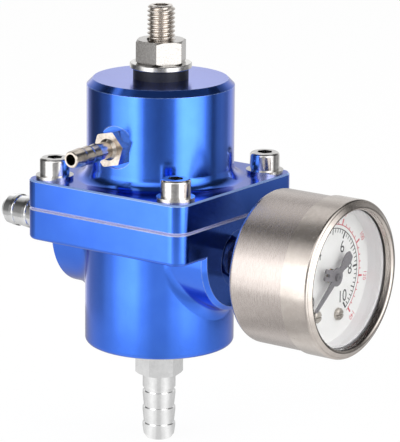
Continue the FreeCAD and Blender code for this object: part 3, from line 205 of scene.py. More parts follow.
def makeFloor():
    bm = bmesh.new()
    squares = studio["floorSquares"]
    bmesh.ops.create_grid(bm, x_segments=squares, y_segments=squares, size=studio["floorSize"] * mm / 2)
    bmesh.ops.translate(bm, verts=bm.verts, vec=(0, 0, cadBox[0][2] - studio["floorDrop"] * mm))
    floor = addPiece("studioFloor", bm)
    material = bpy.data.materials.new("matt white sweep")
    material.use_nodes = True
    tree = material.node_tree
    paint = tree.nodes["Principled BSDF"]
    fill(tree, paint, {"Base Color": studio["floorPaint"], "Roughness": studio["floorRoughness"]})
    white = addNode(tree, "Emission", {"Color": "#ffffff", "Strength": studio["floorWhite"]})
    share = addNode(tree, "Math", {0: seenPlainly(tree), 1: studio["floorGlow"]}, operation="MULTIPLY")
    mixed = addNode(tree, "MixShader", {0: share, 1: paint.outputs["BSDF"], 2: white})
    fill(tree, tree.nodes["Material Output"], {"Surface": mixed})
    floor.data.materials.append(material)


def makeWorld():
    world = bpy.data.worlds.new("studio")
    bpy.context.scene.world = world
    world.use_nodes = True
    world.cycles.sampling_method = "NONE"  # its light comes by what rays meet, so the cards shade it
    tree = world.node_tree
    strength = addNode(
        tree, "MapRange", {"Value": seenPlainly(tree), "To Min": studio["worldLight"], "To Max": 1.0}
    )
    fill(tree, tree.nodes["Background"], {"Color": "#ffffff", "Strength": strength})


def toneRamp(tree, share, tones, ends):  # brightness by stops between two ends, eased between them
    ramp = addNode(tree, "ValToRGB", {"Fac": share})
    ramp.node.color_ramp.interpolation = "EASE"
    stops = ramp.node.color_ramp.elements
    for number, (at, tone) in enumerate(tones):
        spot = (at - ends[0]) / (ends[1] - ends[0])
        stop = stops[number] if number < 2 else stops.new(spot)
        stop.position = spot
        stop.color = [tone / studio["brightest"]] * 3 + [1]
    return ramp


def toneRound(tree, tones):  # brightness by the turn round the main axis, its middle on the camera's side
    place = addNode(tree, "TexCoord", output="Object")
    turn = (0, 0, radians(90 - cameraView["azimuth"]))
    facing = addNode(tree, "Mapping", {"Vector": place, "Rotation": turn})
    share = addNode(tree, "TexGradient", {"Vector": facing}, "Fac", gradient_type="RADIAL")
    return toneRamp(tree, share, studio[tones], studio["wholeTurn"])


def between(tree, axis, low, high, easing="LINEAR"):  # 0 to 1 from one place on an axis to another
    place = addNode(tree, "TexCoord", output="Object")
    along = addNode(tree, "SeparateXYZ", {"Vector": place}, axis)
    return addNode(
        tree, "MapRange", {"Value": along, "From Min": low, "From Max": high}, interpolation_type=easing
    )


def ringTone(tree):
    tone, middle, top = (toneRound(tree, tones) for tones in ("footTones", "middleTones", "topTones"))
    ends = (studio["ringFoot"], studio["ringTop"])
    fade = toneRamp(tree, between(tree, "Z", ends[0] * mm, ends[1] * mm), studio["topFade"], ends)
    top = addNode(tree, "VectorMath", {0: top, 1: fade}, "Vector", operation="MULTIPLY")
    for (low, high), upper in ((studio["footToMiddle"], middle), (studio["middleToTop"], top)):
        share = between(tree, "Z", low * mm, high * mm, "SMOOTHSTEP")
        tone = addNode(tree, "Mix", {"Factor": share, "A": tone, "B": upper}, data_type="RGBA")
    return tone


def ceilingTone(tree):
    tones = studio["ceilingTones"]
    ends = (tones[0][0], tones[-1][0])
    return toneRamp(tree, between(tree, "X", ends[0] * mm, ends[1] * mm), tones, ends)


def floorTone(tree):
    return toneRound(tree, "floorTones")


def addCard(name, bm, cloth, toneOf):  # it shows in reflections alone and shades nothing
    card = addPiece(name, bm)
    material = bpy.data.materials.new(cloth)
    material.use_nodes = True
    tree = material.node_tree
    tree.nodes.remove(tree.nodes["Principled BSDF"])
    glow = addNode(tree, "Emission", {"Color": toneOf(tree), "Strength": studio["brightest"]})
    fill(tree, tree.nodes["Material Output"], {"Surface": glow})
    card.data.materials.append(material)
    card.visible_camera = False
    card.visible_diffuse = False
    card.visible_transmission = False
    card.visible_volume_scatter = False
    card.visible_shadow = False


def makeRing():
    radius, foot, top = (studio[key] * mm for key in ("ringRadius", "ringFoot", "ringTop"))
    bm = bmesh.new()
    ends = [bm.verts.new((radius, 0, z)) for z in (foot, top)]
    wall = ends + [bm.edges.new(ends)]
    bmesh.ops.spin(bm, geom=wall, angle=2 * pi, steps=studio["roundSteps"], use_merge=True, **mainAxis)
    addCard("tentRing", bm, "tent cloth", ringTone)


def makeRoundCard(name, radius, centre, cloth, toneOf):  # it lies flat
    bm = bmesh.new()
    bmesh.ops.create_circle(bm, cap_ends=True, segments=studio["roundSteps"], radius=radius * mm)
    bmesh.ops.translate(bm, verts=bm.verts, vec=centre)
    addCard(name, bm, cloth, toneOf)


def makeLamp(name, turn, rise, distance, size, watts):
    around = radians(cameraView["azimuth"] - 90 + turn)
    up = radians(rise)
    towards = Vector((cos(around) * cos(up), sin(around) * cos(up), sin(up)))
    lamp = addObject(name, bpy.data.lights.new(name, "AREA"))
    lamp.data.shape = "SQUARE"
    lamp.data.size = size * mm
    lamp.data.energy = watts
    lamp.location = (Vector((0, 0, studio["lampAim"])) + towards * distance) * mm
    lamp.rotation_euler = towards.to_track_quat("Z", "Y").to_euler()
    lamp.visible_glossy = False


makeFloor()
makeWorld()
makeRing()
ceilingCentre = [part * mm for part in studio["ceilingCentre"]]
makeRoundCard("cardCeiling", studio["ceilingRadius"], ceilingCentre, "dark ceiling card", ceilingTone)
floorCentre = (0, 0, cadBox[0][2] - studio["floorCardDrop"] * mm)
makeRoundCard("cardFloor", studio["floorCardRadius"], floorCentre, "grey sweep", floorTone)
for lamp in studio["lamps"]:
    makeLamp(*lamp)
print("studio set up")

# what the finishes share: an object-space grain, marks from turning, pits and worn edges
patterns = {
    "noiseSpan": (0.3, 0.7),  # the noise seldom leaves it
    "noiseRoughness": 0.6,
    "bandTurn": 20,  # radians that a band wave turns through per unit of its scaled length
    "wobble": 1.2,
    "wobbleDetail": 2.0,
    "wobbleSize": 1.5,
    "edgeSamples": 4,
    "edgeReach": 0.12,  # all worn where the product of the rounded and the flat normal is this much under 1
    "lineSoftness": 0.02,
}


def newFinish(name):
    material = bpy.data.materials.new(name)
    material.use_nodes = True
    return material, material.node_tree, material.node_tree.nodes["Principled BSDF"]


def grain(tree, size, detail, stretch=(1, 1, 1)):  # cloudy noise, size in mm
    place = addNode(tree, "TexCoord", output="Object")
    spread = addNode(tree, "Mapping", {"Vector": place, "Scale": stretch})
    look = {"Scale": 1 / (size * mm), "Detail": detail, "Roughness": patterns["noiseRoughness"]}
    return addNode(tree, "TexNoise", {"Vector": spread, **look}, "Fac")


def clouded(tree, size, detail, low, high):  # a value that drifts between two with the grain
    least, most = patterns["noiseSpan"]
    span = {"From Min": least, "From Max": most, "To Min": low, "To Max": high}
    return addNode(tree, "MapRange", {"Value": grain(tree, size, detail), **span})


def mottled(tree, size, detail, dark, light):  # a colour that drifts between two with the grain
    share = clouded(tree, size, detail, 0, 1)
    return addNode(tree, "Mix", {"Factor": share, "A": dark, "B": light}, data_type="RGBA")


def pitted(tree, size, detail, depth, under=None):  # relief by the grain, depth in mm
    sockets = {"Height": grain(tree, size, detail), "Distance": depth * mm}
    if under:
        sockets["Normal"] = under
    return addNode(tree, "Bump", sockets)


def turned(tree, spacing, axis, depth):  # rings left by a lathe tool, coarser than real so that they show
    place = addNode(tree, "TexCoord", output="Object")
    look = {
        "Scale": 2 * pi / patterns["bandTurn"] / (spacing * mm),
        "Distortion": patterns["wobble"],
        "Detail": patterns["wobbleDetail"],
        "Detail Scale": patterns["wobbleSize"],
    }
    rings = addNode(
        tree, "TexWave", {"Vector": place, **look}, "Fac", wave_type="BANDS", bands_direction=axis
    )
    return addNode(tree, "Bump", {"Height": rings, "Distance": depth * mm})


def edgeWear(tree, width):  # 1 on sharp edges, 0 on flats, width in mm
    rounded = addNode(tree, "Bevel", {"Radius": width * mm}, samples=patterns["edgeSamples"])
    flat = addNode(tree, "NewGeometry", output="Normal")
    facing = addNode(tree, "VectorMath", {0: rounded, 1: flat}, "Value", operation="DOT_PRODUCT")
    worn = 1.0 - patterns["edgeReach"]
    return addNode(tree, "MapRange", {"Value": facing, "From Min": 1.0, "From Max": worn})


def rubbed(tree, width, tone, edge):  # another colour along the edges
    return addNode(tree, "Mix", {"Factor": edgeWear(tree, width), "A": tone, "B": edge}, data_type="RGBA")


highlightBands = {  # painted highlights, pale bands round the flanges where their edges catch the light: height over the parting plane, half the width
    "joint": (0.17, 0.45),
    "topEdge": (8.22, 0.26),
}


def dressedLine(tree, line):  # 1 in a level band round the part
    middle, half = highlightBands[line]
    place = addNode(tree, "TexCoord", output="Object")
    height = addNode(tree, "SeparateXYZ", {"Vector": place}, "Z")
    away = addNode(tree, "Math", {0: height, 1: parting + middle * mm}, operation="SUBTRACT")
    away = addNode(tree, "Math", {0: away}, operation="ABSOLUTE")
    soft = patterns["lineSoftness"] * mm
    return addNode(
        tree, "MapRange", {"Value": away, "From Min": half * mm + soft, "From Max": half * mm - soft}
    )


def anodisedAluminium():
    # blue dyed oxide over machined aluminium: bright and deep, paler and less metallic where the dye is thin
    # along worn edges, and in two level bands at the joint and the top edge that are painted highlights
    material, tree, shader = newFinish("anodised aluminium")
    patchy = clouded(tree, 1.1, 3, 0.45, 1.0)
    worn = addNode(tree, "Math", {0: edgeWear(tree, 0.4), 1: patchy}, operation="MULTIPLY")
    # painted highlights: the joint and the top edge are pale, less metallic bands, lit in the colour itself
    joint = dressedLine(tree, "joint")
    topEdge = dressedLine(tree, "topEdge")
    dye = mottled(tree, 9.0, 3, "#3472ed", "#3c7af3")
    for share, pale in ((worn, "#a9c4fa"), (topEdge, "#9cbcfa"), (joint, "#d4d7f8")):
        dye = addNode(tree, "Mix", {"Factor": share, "A": dye, "B": pale}, data_type="RGBA")
    wornOrHighlit = addNode(tree, "Math", {0: joint, 1: worn}, operation="MAXIMUM")
    wornOrHighlit = addNode(tree, "Math", {0: wornOrHighlit, 1: topEdge}, operation="MAXIMUM")
    look = {
        "Base Color": dye,
        "Metallic": addNode(tree, "MapRange", {"Value": wornOrHighlit, "To Min": 1.0, "To Max": 0.3}),
        "Roughness": clouded(tree, 0.7, 4, 0.15, 0.21),
        "Specular Tint": "#e6dcdc",
        "Coat Weight": 0.5,
        "Coat Roughness": 0.16,
        "Coat IOR": 1.6,
        "Normal": pitted(tree, 0.35, 3, 0.0012, turned(tree, 0.45, "Z", 0.0005)),
    }
    fill(tree, shader, look)
    return material


def nickelPlate():
    # bright nickel on turned brass: a clean white mirror with faint clouds and polishing grain
    material, tree, shader = newFinish("nickel plated brass")
    look = {
        "Base Color": mottled(tree, 2.4, 3, "#eeeeee", "#fafafa"),
        "Metallic": 1.0,
        "Roughness": clouded(tree, 0.6, 4, 0.12, 0.2),
        "Normal": pitted(tree, 0.8, 3, 0.0006),
    }
    fill(tree, shader, look)
    return material


def dullNickel():
    # nickelled brass socket, dull and dark, with turning rings along its axis
    material, tree, shader = newFinish("dull nickelled brass")
    look = {
        "Base Color": rubbed(tree, 0.2, mottled(tree, 1.2, 4, "#6c6971", "#84818a"), "#b6b3b8"),
        "Metallic": 1.0,
        "Roughness": clouded(tree, 0.5, 4, 0.24, 0.38),
        "Normal": turned(tree, 0.4, "X", 0.001),
    }
    fill(tree, shader, look)
    return material


def thinNickel():
    # a thinner flash of nickel, so the brass under it warms every reflection to cream
    material, tree, shader = newFinish("thin nickel on brass")
    look = {
        "Base Color": rubbed(tree, 0.15, mottled(tree, 1.8, 3, "#bcb2a8", "#ddd3c8"), "#efe8df"),
        "Metallic": 1.0,
        "Roughness": clouded(tree, 0.5, 4, 0.15, 0.25),
        "Normal": pitted(tree, 0.6, 3, 0.001),
    }
    fill(tree, shader, look)
    return material


def zincPlate():
    # bright zinc on steel washers: cool silver with a fine clouded grain
    material, tree, shader = newFinish("zinc plated steel")
    look = {
        "Base Color": mottled(tree, 1.2, 4, "#bdbbb8", "#dddbd8"),
        "Metallic": 1.0,
        "Roughness": clouded(tree, 0.4, 4, 0.14, 0.3),
        "Normal": pitted(tree, 0.35, 4, 0.004),
    }
    fill(tree, shader, look)
    return material


def nutSteel():
    # cold-formed nut: grey, pitted flats, darker along their edges
    material, tree, shader = newFinish("cold formed steel")
    look = {
        "Base Color": rubbed(tree, 0.22, mottled(tree, 0.5, 5, "#9a9794", "#b9b6b3"), "#686562"),
        "Metallic": 1.0,
        "Roughness": clouded(tree, 0.3, 5, 0.16, 0.3),
        "Normal": pitted(tree, 0.5, 4, 0.005),
    }
    fill(tree, shader, look)
    return material


def stainlessScrew():
    # polished stainless cap screws: near mirror heads, edges a little brighter
    material, tree, shader = newFinish("polished stainless steel")
    look = {
        "Base Color": rubbed(tree, 0.15, mottled(tree, 0.9, 4, "#c9c7c5", "#e2e0de"), "#f6f5f3"),
        "Metallic": 1.0,
        "Roughness": clouded(tree, 0.4, 4, 0.08, 0.2),
        "Normal": pitted(tree, 0.5, 3, 0.003),
    }
    fill(tree, shader, look)
    return material


def nickelledScrew():
    # small slotted screws: dull warm nickel, darker in the grain
    material, tree, shader = newFinish("dull nickelled steel")
    look = {
        "Base Color": rubbed(tree, 0.08, mottled(tree, 0.5, 4, "#a39b91", "#c9c2b9"), "#e4dfd8"),
        "Metallic": 1.0,
        "Roughness": clouded(tree, 0.3, 4, 0.24, 0.38),
        "Normal": pitted(tree, 0.3, 4, 0.002),
    }
    fill(tree, shader, look)
    return material


def rolledThreadSteel():
    # stainless set screw with rolled threads: warm grey satin, crests rubbed bright
    material, tree, shader = newFinish("rolled thread steel")
    look = {
        "Base Color": rubbed(tree, 0.12, mottled(tree, 0.6, 4, "#c6bdb5", "#ded7d0"), "#ece8e3"),
        "Metallic": 1.0,
        "Roughness": clouded(tree, 0.35, 4, 0.2, 0.32),
        "Normal": pitted(tree, 0.4, 4, 0.002),
    }
    fill(tree, shader, look)
    return material


def springWire():
    # oil-tempered spring wire: dark grey satin, clouded by its scale
    material, tree, shader = newFinish("spring wire")
    look = {
        "Base Color": "#6e6e73",
        "Metallic": 1.0,
        "Roughness": clouded(tree, 0.3, 4, 0.28, 0.45),
        "Normal": pitted(tree, 0.4, 4, 0.006),
    }
    fill(tree, shader, look)
    return material


def machinedBrass():
    # turned brass: yellow, soft sheen, fine rings
    material, tree, shader = newFinish("machined brass")
    look = {
        "Base Color": mottled(tree, 1.4, 4, "#c79f55", "#e2c27e"),
        "Metallic": 1.0,
        "Roughness": clouded(tree, 0.4, 4, 0.18, 0.32),
        "Normal": turned(tree, 0.3, "X", 0.001),
    }
    fill(tree, shader, look)
    return material


def phosphorBronze():
    # drawn bronze tube: redder than brass, satin
    material, tree, shader = newFinish("phosphor bronze")
    look = {
        "Base Color": "#c68f5c",
        "Metallic": 1.0,
        "Roughness": clouded(tree, 0.5, 4, 0.22, 0.36),
        "Normal": pitted(tree, 0.5, 4, 0.004),
    }
    fill(tree, shader, look)
    return material


def nitrileRubber():
    # moulded black rubber: matt, faintly powdery, soft grey sheen
    material, tree, shader = newFinish("nitrile rubber")
    look = {
        "Base Color": mottled(tree, 0.8, 4, "#101014", "#232329"),
        "Roughness": clouded(tree, 0.3, 4, 0.36, 0.55),
        "Normal": pitted(tree, 0.25, 4, 0.008),
    }
    fill(tree, shader, look)
    return material


def brushedStainless():
    # gauge case: stainless worn by handling, so short fine marks soften every reflection
    material, tree, shader = newFinish("brushed stainless steel")
    marks = grain(tree, 1.0, 5, (1 / 0.3, 1 / 1.6, 1 / 1.6))  # 0.3 mm along the case's axis, 1.6 mm round it
    share = addNode(tree, "MapRange", {"Value": marks, "From Min": 0.2, "From Max": 0.8})
    tone = addNode(tree, "Mix", {"Factor": share, "A": "#aba29d", "B": "#cac1bc"}, data_type="RGBA")
    least, most = patterns["noiseSpan"]
    span = {"From Min": least, "From Max": most, "To Min": 0.22, "To Max": 0.31}
    look = {
        "Base Color": rubbed(tree, 0.2, tone, "#f5f1ec"),
        "Metallic": 1.0,
        "Roughness": addNode(tree, "MapRange", {"Value": marks, **span}),
        "Normal": addNode(tree, "Bump", {"Height": marks, "Distance": 0.0003 * mm}),
    }
    fill(tree, shader, look)
    return material


bezelPaintedShade = {
    "bore": (19.75, 19.5),  # radii between which the painted shade comes in, inwards
    "foot": (1, 12),  # distances below the middle between which it does so, downwards
}


def polishedStainless():
    # gauge bezel: polished stainless with a warm, clouded reflection, and painted shade inside its fold at
    # the foot
    material, tree, shader = newFinish("polished bezel steel")
    low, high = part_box("gauge_bezel")
    middle = (low + high) / 2
    place = addNode(tree, "TexCoord", output="Object")
    flat = {"Location": (0, -middle.y, -middle.z), "Scale": (0, 1, 1)}
    spread = addNode(tree, "Mapping", {"Vector": place, **flat})
    radius = addNode(tree, "VectorMath", {0: spread}, "Value", operation="LENGTH")
    outer, inner = (r * mm for r in bezelPaintedShade["bore"])
    bore = addNode(tree, "MapRange", {"Value": radius, "From Min": outer, "From Max": inner})
    foot = between(tree, "Z", *(middle.z - drop * mm for drop in bezelPaintedShade["foot"]))
    # painted shade: a dark colour inside the fold stands in for the dark reflection there
    dark = addNode(tree, "Math", {0: bore, 1: foot}, operation="MULTIPLY")
    steel = mottled(tree, 3.5, 3, "#c1b8b1", "#cbc3bc")
    tone = addNode(tree, "Mix", {"Factor": dark, "A": steel, "B": "#4a4644"}, data_type="RGBA")
    look = {
        "Base Color": tone,
        "Metallic": 1.0,
        "Roughness": clouded(tree, 1.2, 4, 0.17, 0.28),
        "Normal": pitted(tree, 1.4, 2, 0.0008),
    }
    fill(tree, shader, look)
    return material


def clearLens():
    # cast acrylic window: clear and glossy, with an index under its real 1.49 so that its mirror stays
    # as faint as the photograph's, and shadow rays pass through so that the lamps light the dial
    material, tree, shader = newFinish("clear acrylic")
    look = {"Base Color": "#fbfbfb", "Roughness": 0.0, "Transmission Weight": 1.0, "IOR": 1.3}
    fill(tree, shader, look)
    through = addNode(tree, "BsdfTransparent", {"Color": (0.97, 0.97, 0.97, 1)})  # it keeps 3 parts in 100
    shadowRay = addNode(tree, "LightPath", output="Is Shadow Ray")
    mixed = addNode(tree, "MixShader", {0: shadowRay, 1: shader.outputs["BSDF"], 2: through})
    fill(tree, tree.nodes["Material Output"], {"Surface": mixed})
    return material


def mouldedSpacer():
    # pale moulded ring between dial and lens: satin grey plastic
    material, tree, shader = newFinish("moulded polystyrene")
    look = {
        "Base Color": "#f4f3f4",
        "Roughness": clouded(tree, 0.8, 3, 0.34, 0.48),
        "Normal": pitted(tree, 0.6, 3, 0.004),
    }
    fill(tree, shader, look)
    return material


def dialEnamel():
    # stoved white enamel on a thin plate: off-white, almost matt, a trace of orange peel
    material, tree, shader = newFinish("white dial enamel")
    look = {
        "Base Color": mottled(tree, 5.0, 3, "#f4f4f2", "#fafaf9"),
        "Roughness": 0.45,
        "Normal": pitted(tree, 0.9, 2, 0.003),
    }
    fill(tree, shader, look)
    return material


def pointerEnamel():
    # baked enamel on a stamped pointer: mid grey with a dull sheen
    material, tree, shader = newFinish("grey pointer enamel")
    look = {
        "Base Color": mottled(tree, 0.9, 3, "#6a676c", "#78757a"),
        "Roughness": 0.42,
        "Normal": pitted(tree, 0.4, 3, 0.003),
    }
    fill(tree, shader, look)
    return material


def printedInk(name, dark, light):
    # pad-printed ink: a thin matt film, uneven in strength
    material, tree, shader = newFinish(name)
    look = {
        "Base Color": mottled(tree, 0.5, 3, dark, light),
        "Roughness": 0.6,
        "Normal": pitted(tree, 0.12, 2, 0.001),
    }
    fill(tree, shader, look)
    return material


finishes = {  # each with what its solids' names start with
    anodisedAluminium: ["lower_body", "spring_bonnet"],
    nickelPlate: ["return_barb", "inlet_barb"],
    dullNickel: ["gauge_socket"],
    thinNickel: ["vacuum_barb"],
    zincPlate: ["flange_washer_", "lock_washer", "spring_cap", "spring_plate", "plate_nut"],
    nutSteel: ["lock_nut"],
    stainlessScrew: ["flange_screw_"],
    nickelledScrew: ["dial_screw_", "case_screw_"],
    rolledThreadSteel: ["adjusting_screw"],
    springWire: ["main_spring", "movement_link", "pinion_arbor"],
    machinedBrass: [
        "seat_insert", "valve_head", "movement_front", "movement_rear", "movement_pillar",
        "sector_gear", "tube_tip",
    ],
    phosphorBronze: ["bourdon_tube"],
    nitrileRubber: ["seal_washer", "diaphragm", "valve_seal", "lens_gasket"],
    brushedStainless: ["gauge_case"],
    polishedStainless: ["gauge_bezel"],
    clearLens: ["gauge_lens"],
    mouldedSpacer: ["lens_spacer"],
    dialEnamel: ["gauge_dial"],
    pointerEnamel: ["gauge_pointer"],
}
materials = {}
for finish, starts in finishes.items():
    materials[finish] = finish()
    for name, solid in nodes.items():
        if any(name.startswith(start) for start in starts):
            solid.data.materials.clear()
            solid.data.materials.append(materials[finish])
print("finishes on the solids")


def cutAcross(bm, height, **side):  # cuts all faces level at a height and may clear one side
    parts = bm.verts[:] + bm.edges[:] + bm.faces[:]
    bmesh.ops.bisect_plane(bm, geom=parts, plane_co=(0, 0, height), plane_no=(0, 0, 1), **side)


def extrudeFaces(bm, height):  # gives back the faces at the far end
    ends = bmesh.ops.extrude_face_region(bm, geom=bm.faces[:])["geom"]
    points = [v for v in ends if isinstance(v, bmesh.types.BMVert)]
    bmesh.ops.translate(bm, verts=points, vec=(0, 0, height))
    return [f for f in ends if isinstance(f, bmesh.types.BMFace)]


def asItStands(holder):  # the mesh of an object with its modifiers, or of a text
    bpy.context.view_layer.update()
    return bpy.data.meshes.new_from_object(holder.evaluated_get(bpy.context.evaluated_depsgraph_get()))


# adjusting screw with its real thread, in place of the plain one
adjustingScrew = {
    "pitch": 1.25,
    "threadDepth": 0.72,
    "crest": 0.16,  # flat on the crest
    "root": 0.18,  # flat at the root
    "perTurn": 48,
    "turnsBelow": 1.5,  # the thread starts this far under the tip and is cut off there
    "spareTurns": 4,
    "tipChamfer": 0.75,
    "socketFlats": 4.0,
    "socketDepth": 5.0,
    "socketTurn": 11,
    "drillPoint": 0.9,
    "cutterAbove": 1,
    "smoothAngle": 28,
}


def threadedBar(size, low, high):
    pitch = size["pitch"] * mm
    crest = high.x
    root = crest - size["threadDepth"] * mm
    flank = (pitch - (size["crest"] + size["root"]) * mm) / 2
    bm = bmesh.new()
    heights = [0, size["root"] * mm, size["root"] * mm + flank, pitch - flank, pitch]
    radii = [root, root, crest, crest, root]
    start = low.z - size["turnsBelow"] * pitch
    corners = [bm.verts.new((r, 0, start + h)) for r, h in zip(radii, heights)]
    edges = [bm.edges.new(pair) for pair in zip(corners, corners[1:])]
    turns = int((high.z - low.z) / pitch) + size["spareTurns"]
    steps = {"angle": 2 * pi * turns, "steps": turns * size["perTurn"]}
    climb = (0, 0, pitch / size["perTurn"])
    bmesh.ops.spin(bm, geom=corners + edges, dvec=climb, **steps, **mainAxis)
    bmesh.ops.remove_doubles(bm, verts=bm.verts, dist=samePoint)
    for height, side in ((low.z, "clear_inner"), (high.z, "clear_outer")):
        cutAcross(bm, height, **{side: True})
        loose = [e for e in bm.edges if e.is_boundary]
        rim = [e for e in loose if all(abs(v.co.z - height) < samePoint for v in e.verts)]
        bmesh.ops.edgeloop_fill(bm, edges=rim)
    trim = size["tipChamfer"] * mm
    for height in (low.z + trim, high.z - trim):
        cutAcross(bm, height)
    for v in bm.verts:  # the chamfers run the thread out at both ends
        inside = min(v.co.z - low.z, high.z - v.co.z)
        reach = crest - max(0, trim - inside)
        wide = Vector((v.co.x, v.co.y)).length
        if wide > reach:
            v.co.x *= reach / wide
            v.co.y *= reach / wide
    bmesh.ops.recalc_face_normals(bm, faces=bm.faces)
    return addPiece("threadedAdjustingScrew", bm)


def hexagonCutter(size, top):  # for the key's socket, with the point that its drill left
    bm = bmesh.new()
    corner = size["socketFlats"] * mm / cos(pi / 6) / 2
    bmesh.ops.create_circle(bm, cap_ends=True, segments=6, radius=corner)
    turn = Matrix.Rotation(radians(size["socketTurn"]), 3, "Z")
    bmesh.ops.rotate(bm, verts=bm.verts, cent=(0, 0, 0), matrix=turn)
    bmesh.ops.translate(bm, verts=bm.verts, vec=(0, 0, top + size["cutterAbove"] * mm))
    floor = extrudeFaces(bm, -(size["socketDepth"] + size["cutterAbove"]) * mm)
    tip = bmesh.ops.poke(bm, faces=floor)
    bmesh.ops.translate(bm, verts=tip["verts"], vec=(0, 0, -size["drillPoint"] * mm))
    bmesh.ops.recalc_face_normals(bm, faces=bm.faces)
    return addPiece("socketCutter", bm)


def makeAdjustingScrew(size):
    low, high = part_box("adjusting_screw")
    screw = threadedBar(size, low, high)
    cutter = hexagonCutter(size, high.z)
    cut = screw.modifiers.new("socket", "BOOLEAN")
    cut.operation = "DIFFERENCE"
    cut.solver = "EXACT"
    cut.object = cutter
    whole = asItStands(screw)
    screw.modifiers.clear()
    screw.data = whole
    bpy.data.objects.remove(cutter)
    whole.shade_smooth()
    whole.set_sharp_from_angle(angle=radians(size["smoothAngle"]))
    whole.materials.clear()
    whole.materials.append(materials[rolledThreadSteel])
    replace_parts(screw, "adjusting_screw")
    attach(screw, "adjuster")


makeAdjustingScrew(adjustingScrew)
print("adjusting screw threaded")

# dial print: an inner black scale in bar and an outer red one in psi, angles clockwise from the top
dialPrint = {
    "rise": 0.02,
    "start": -134.8,
    "overrun": 0.5,  # degrees that an arc runs past its end ticks
    "arcSteps": 96,
    "letterSteps": 4,
    "barEnd": 10,
    "perBar": 27.84,
    "stepsPerBar": 5,
    "blackArc": (13.14, 13.36),
    "blackTicks": [(1, 1.3, 0.26), (5, 1.9, 0.34), (10, 2.2, 0.58)],  # every so many steps, length, width
    "blackNumbers": [  # each with its radius and its angle from the top
        ("0", 10.6, -125), ("2", 9.4, -84), ("4", 9.0, -39),
        ("6", 9.0, 39.2), ("8", 9.67, 89.9), ("10", 9.54, 139.3),
    ],
    "blackLetter": 4.85,
    "blackNarrow": 0.9,
    "psiEnd": 140,
    "perPsi": 1.9666,
    "redArc": (14.26, 14.5),
    "redTicks": [(4, 0.9, 0.26), (20, 1.9, 0.52)],  # every so many psi, length, width
    "redRadius": 17.6,
    "redLetter": 2.2,
    "redNarrow": 0.85,
}


def clockwise(angle, size):  # a turn from the top of the dial, as a matrix
    return Matrix.Rotation(radians(-angle), size, "Z")


def addArc(bm, radii, end):
    start = dialPrint["start"] - dialPrint["overrun"]
    ends = [bm.verts.new(Vector((0, r * mm, 0))) for r in radii]
    bmesh.ops.rotate(bm, verts=ends, cent=(0, 0, 0), matrix=clockwise(start, 3))
    bmesh.ops.spin(
        bm,
        geom=ends + [bm.edges.new(ends)],
        cent=(0, 0, 0),
        axis=(0, 0, -1),
        angle=radians(end + dialPrint["overrun"] - start),
        steps=dialPrint["arcSteps"],
    )


def addTick(bm, angle, radius, length, width):
    grid = bmesh.ops.create_grid(bm, x_segments=1, y_segments=1, size=0.5)["verts"]
    bmesh.ops.scale(bm, verts=grid, vec=(width * mm, length * mm, 1))
    bmesh.ops.translate(bm, verts=grid, vec=(0, (radius + length / 2) * mm, 0))
    bmesh.ops.rotate(bm, verts=grid, cent=(0, 0, 0), matrix=clockwise(angle, 3))


def tickAt(ticks, step):  # length and width of the greatest tick that falls on a step
    return [(length, width) for every, length, width in ticks if step % every == 0][-1]


def addNumber(bm, words, place, size, narrow):
    text = bpy.data.curves.new("number", "FONT")
    text.body = words
    text.align_x = "CENTER"
    text.align_y = "CENTER"
    text.size = size * mm
    text.resolution_u = dialPrint["letterSteps"]
    holder = addObject("number", text)
    flat = asItStands(holder)
    bpy.data.objects.remove(holder)
    flat.transform(place @ Matrix.Diagonal((narrow, 1, 1, 1)))
    bm.from_mesh(flat)
    bpy.data.meshes.remove(flat)


def finishPrint(bm, name, material):  # gives the ink its thickness and stands it on the dial
    low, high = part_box("gauge_dial")
    centre = (low + high) / 2
    # x is right on the print and y up, which are +Y and +Z in the frame
    face = Matrix(((0, 0, 1, high.x), (1, 0, 0, centre.y), (0, 1, 0, centre.z), (0, 0, 0, 1)))
    extrudeFaces(bm, dialPrint["rise"] * mm)
    bmesh.ops.recalc_face_normals(bm, faces=bm.faces)
    bmesh.ops.transform(bm, matrix=face, verts=bm.verts)
    piece = addPiece(name, bm)
    piece.data.materials.append(material)
    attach(piece, "housing")
    return piece


def makeBlackPrint(size, end):
    bm = bmesh.new()
    addArc(bm, size["blackArc"], end)
    for step in range(size["barEnd"] * size["stepsPerBar"] + 1):
        length, width = tickAt(size["blackTicks"], step)
        angle = size["start"] + step / size["stepsPerBar"] * size["perBar"]
        addTick(bm, angle, size["blackArc"][1] - length, length, width)
    for words, radius, angle in size["blackNumbers"]:  # they stand upright
        place = Vector((radius * sin(radians(angle)) * mm, radius * cos(radians(angle)) * mm, 0))
        addNumber(bm, words, Matrix.Translation(place), size["blackLetter"], size["blackNarrow"])
    piece = finishPrint(bm, "blackDialPrint", printedInk("black printing ink", "#252527", "#38373a"))


def makeRedPrint(size, end):
    bm = bmesh.new()
    addArc(bm, size["redArc"], end)
    smallest, greatest = (tick[0] for tick in size["redTicks"])
    for value in range(0, size["psiEnd"] + 1, smallest):
        length, width = tickAt(size["redTicks"], value)
        addTick(bm, size["start"] + value * size["perPsi"], size["redArc"][0], length, width)
    for value in range(0, size["psiEnd"] + 1, greatest):  # they follow the arc
        place = clockwise(size["start"] + value * size["perPsi"], 4)
        place = place @ Matrix.Translation((0, size["redRadius"] * mm, 0))
        addNumber(bm, str(value), place, size["redLetter"], size["redNarrow"])
    finishPrint(bm, "redDialPrint", printedInk("red printing ink", "#cf3f50", "#dc5f6c"))


scaleEnd = dialPrint["start"] + dialPrint["barEnd"] * dialPrint["perBar"]
makeBlackPrint(dialPrint, scaleEnd)
makeRedPrint(dialPrint, scaleEnd)
print("dial printed")
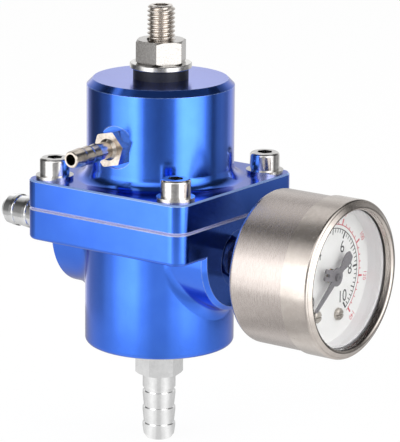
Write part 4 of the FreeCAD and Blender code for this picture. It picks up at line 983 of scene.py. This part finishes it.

# the two soft pieces inside, made again: the spring as a mesh of its own, and the diaphragm in a clamped
# middle that goes with the valve and a rolled rim that stays with the housing
softInside = {
    "deadCoil": 1.6,  # each end of the spring that stays flat
    "hole": 3.0,
    "split": (12.33, 12.37),  # the rubber parts just outside the plates that clamp its middle
    "thick": 0.9,
    "bulgeCentre": 14.2,
    "bulge": 1.0,
    "bulgeSteps": 12,
    "edge": 22.2,
    "steps": 96,
}


def makeSpring():
    bm = bmesh.new()
    bm.from_mesh(nodes["main_spring"].data)
    bmesh.ops.remove_doubles(bm, verts=bm.verts, dist=samePoint)
    spring = addPiece("coiledMainSpring", bm)
    spring.data.materials.append(materials[springWire])
    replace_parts(spring, "main_spring")
    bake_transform(spring)


def turnRubber(name, body, corners, steps):  # corners by radius and height over the parting plane
    bm = bmesh.new()
    ring = [bm.verts.new((r * mm, 0, parting + z * mm)) for r, z in corners]
    edges = [bm.edges.new(pair) for pair in zip(ring, ring[1:] + ring[:1])]
    bmesh.ops.spin(bm, geom=ring + edges, angle=2 * pi, steps=steps, use_merge=True, **mainAxis)
    bmesh.ops.recalc_face_normals(bm, faces=bm.faces)
    rubber = addPiece(name, bm)
    rubber.data.materials.append(materials[nitrileRubber])
    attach(rubber, body)
    return rubber


def makeDiaphragm(size):
    thick, middle, under = size["thick"], size["bulgeCentre"], size["bulge"]
    hole, edge, steps = size["hole"], size["edge"], size["steps"]
    inner, outer = size["split"]
    clamped = [(hole, -thick), (inner, -thick), (inner, 0), (hole, 0)]
    turnRubber("clampedRubberMiddle", "valve", clamped, steps)

    over = under + thick  # radii of the bulge's two arcs
    shares = [n / size["bulgeSteps"] for n in range(size["bulgeSteps"] + 1)]
    rise = asin(thick / over)
    lower = [(middle - under * cos(pi * s), under * sin(pi * s) - thick) for s in shares]
    angles = [rise + (pi - 2 * rise) * s for s in shares]
    upper = [(middle + over * cos(a), over * sin(a) - thick) for a in angles]
    rolled = [(outer, -thick)] + lower + [(edge, -thick), (edge, 0)] + upper + [(outer, 0)]
    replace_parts(turnRubber("rolledRubberDiaphragm", "housing", rolled, steps), "diaphragm")


makeSpring()
makeDiaphragm(softInside)

bpy.context.scene.view_settings.view_transform = "Standard"
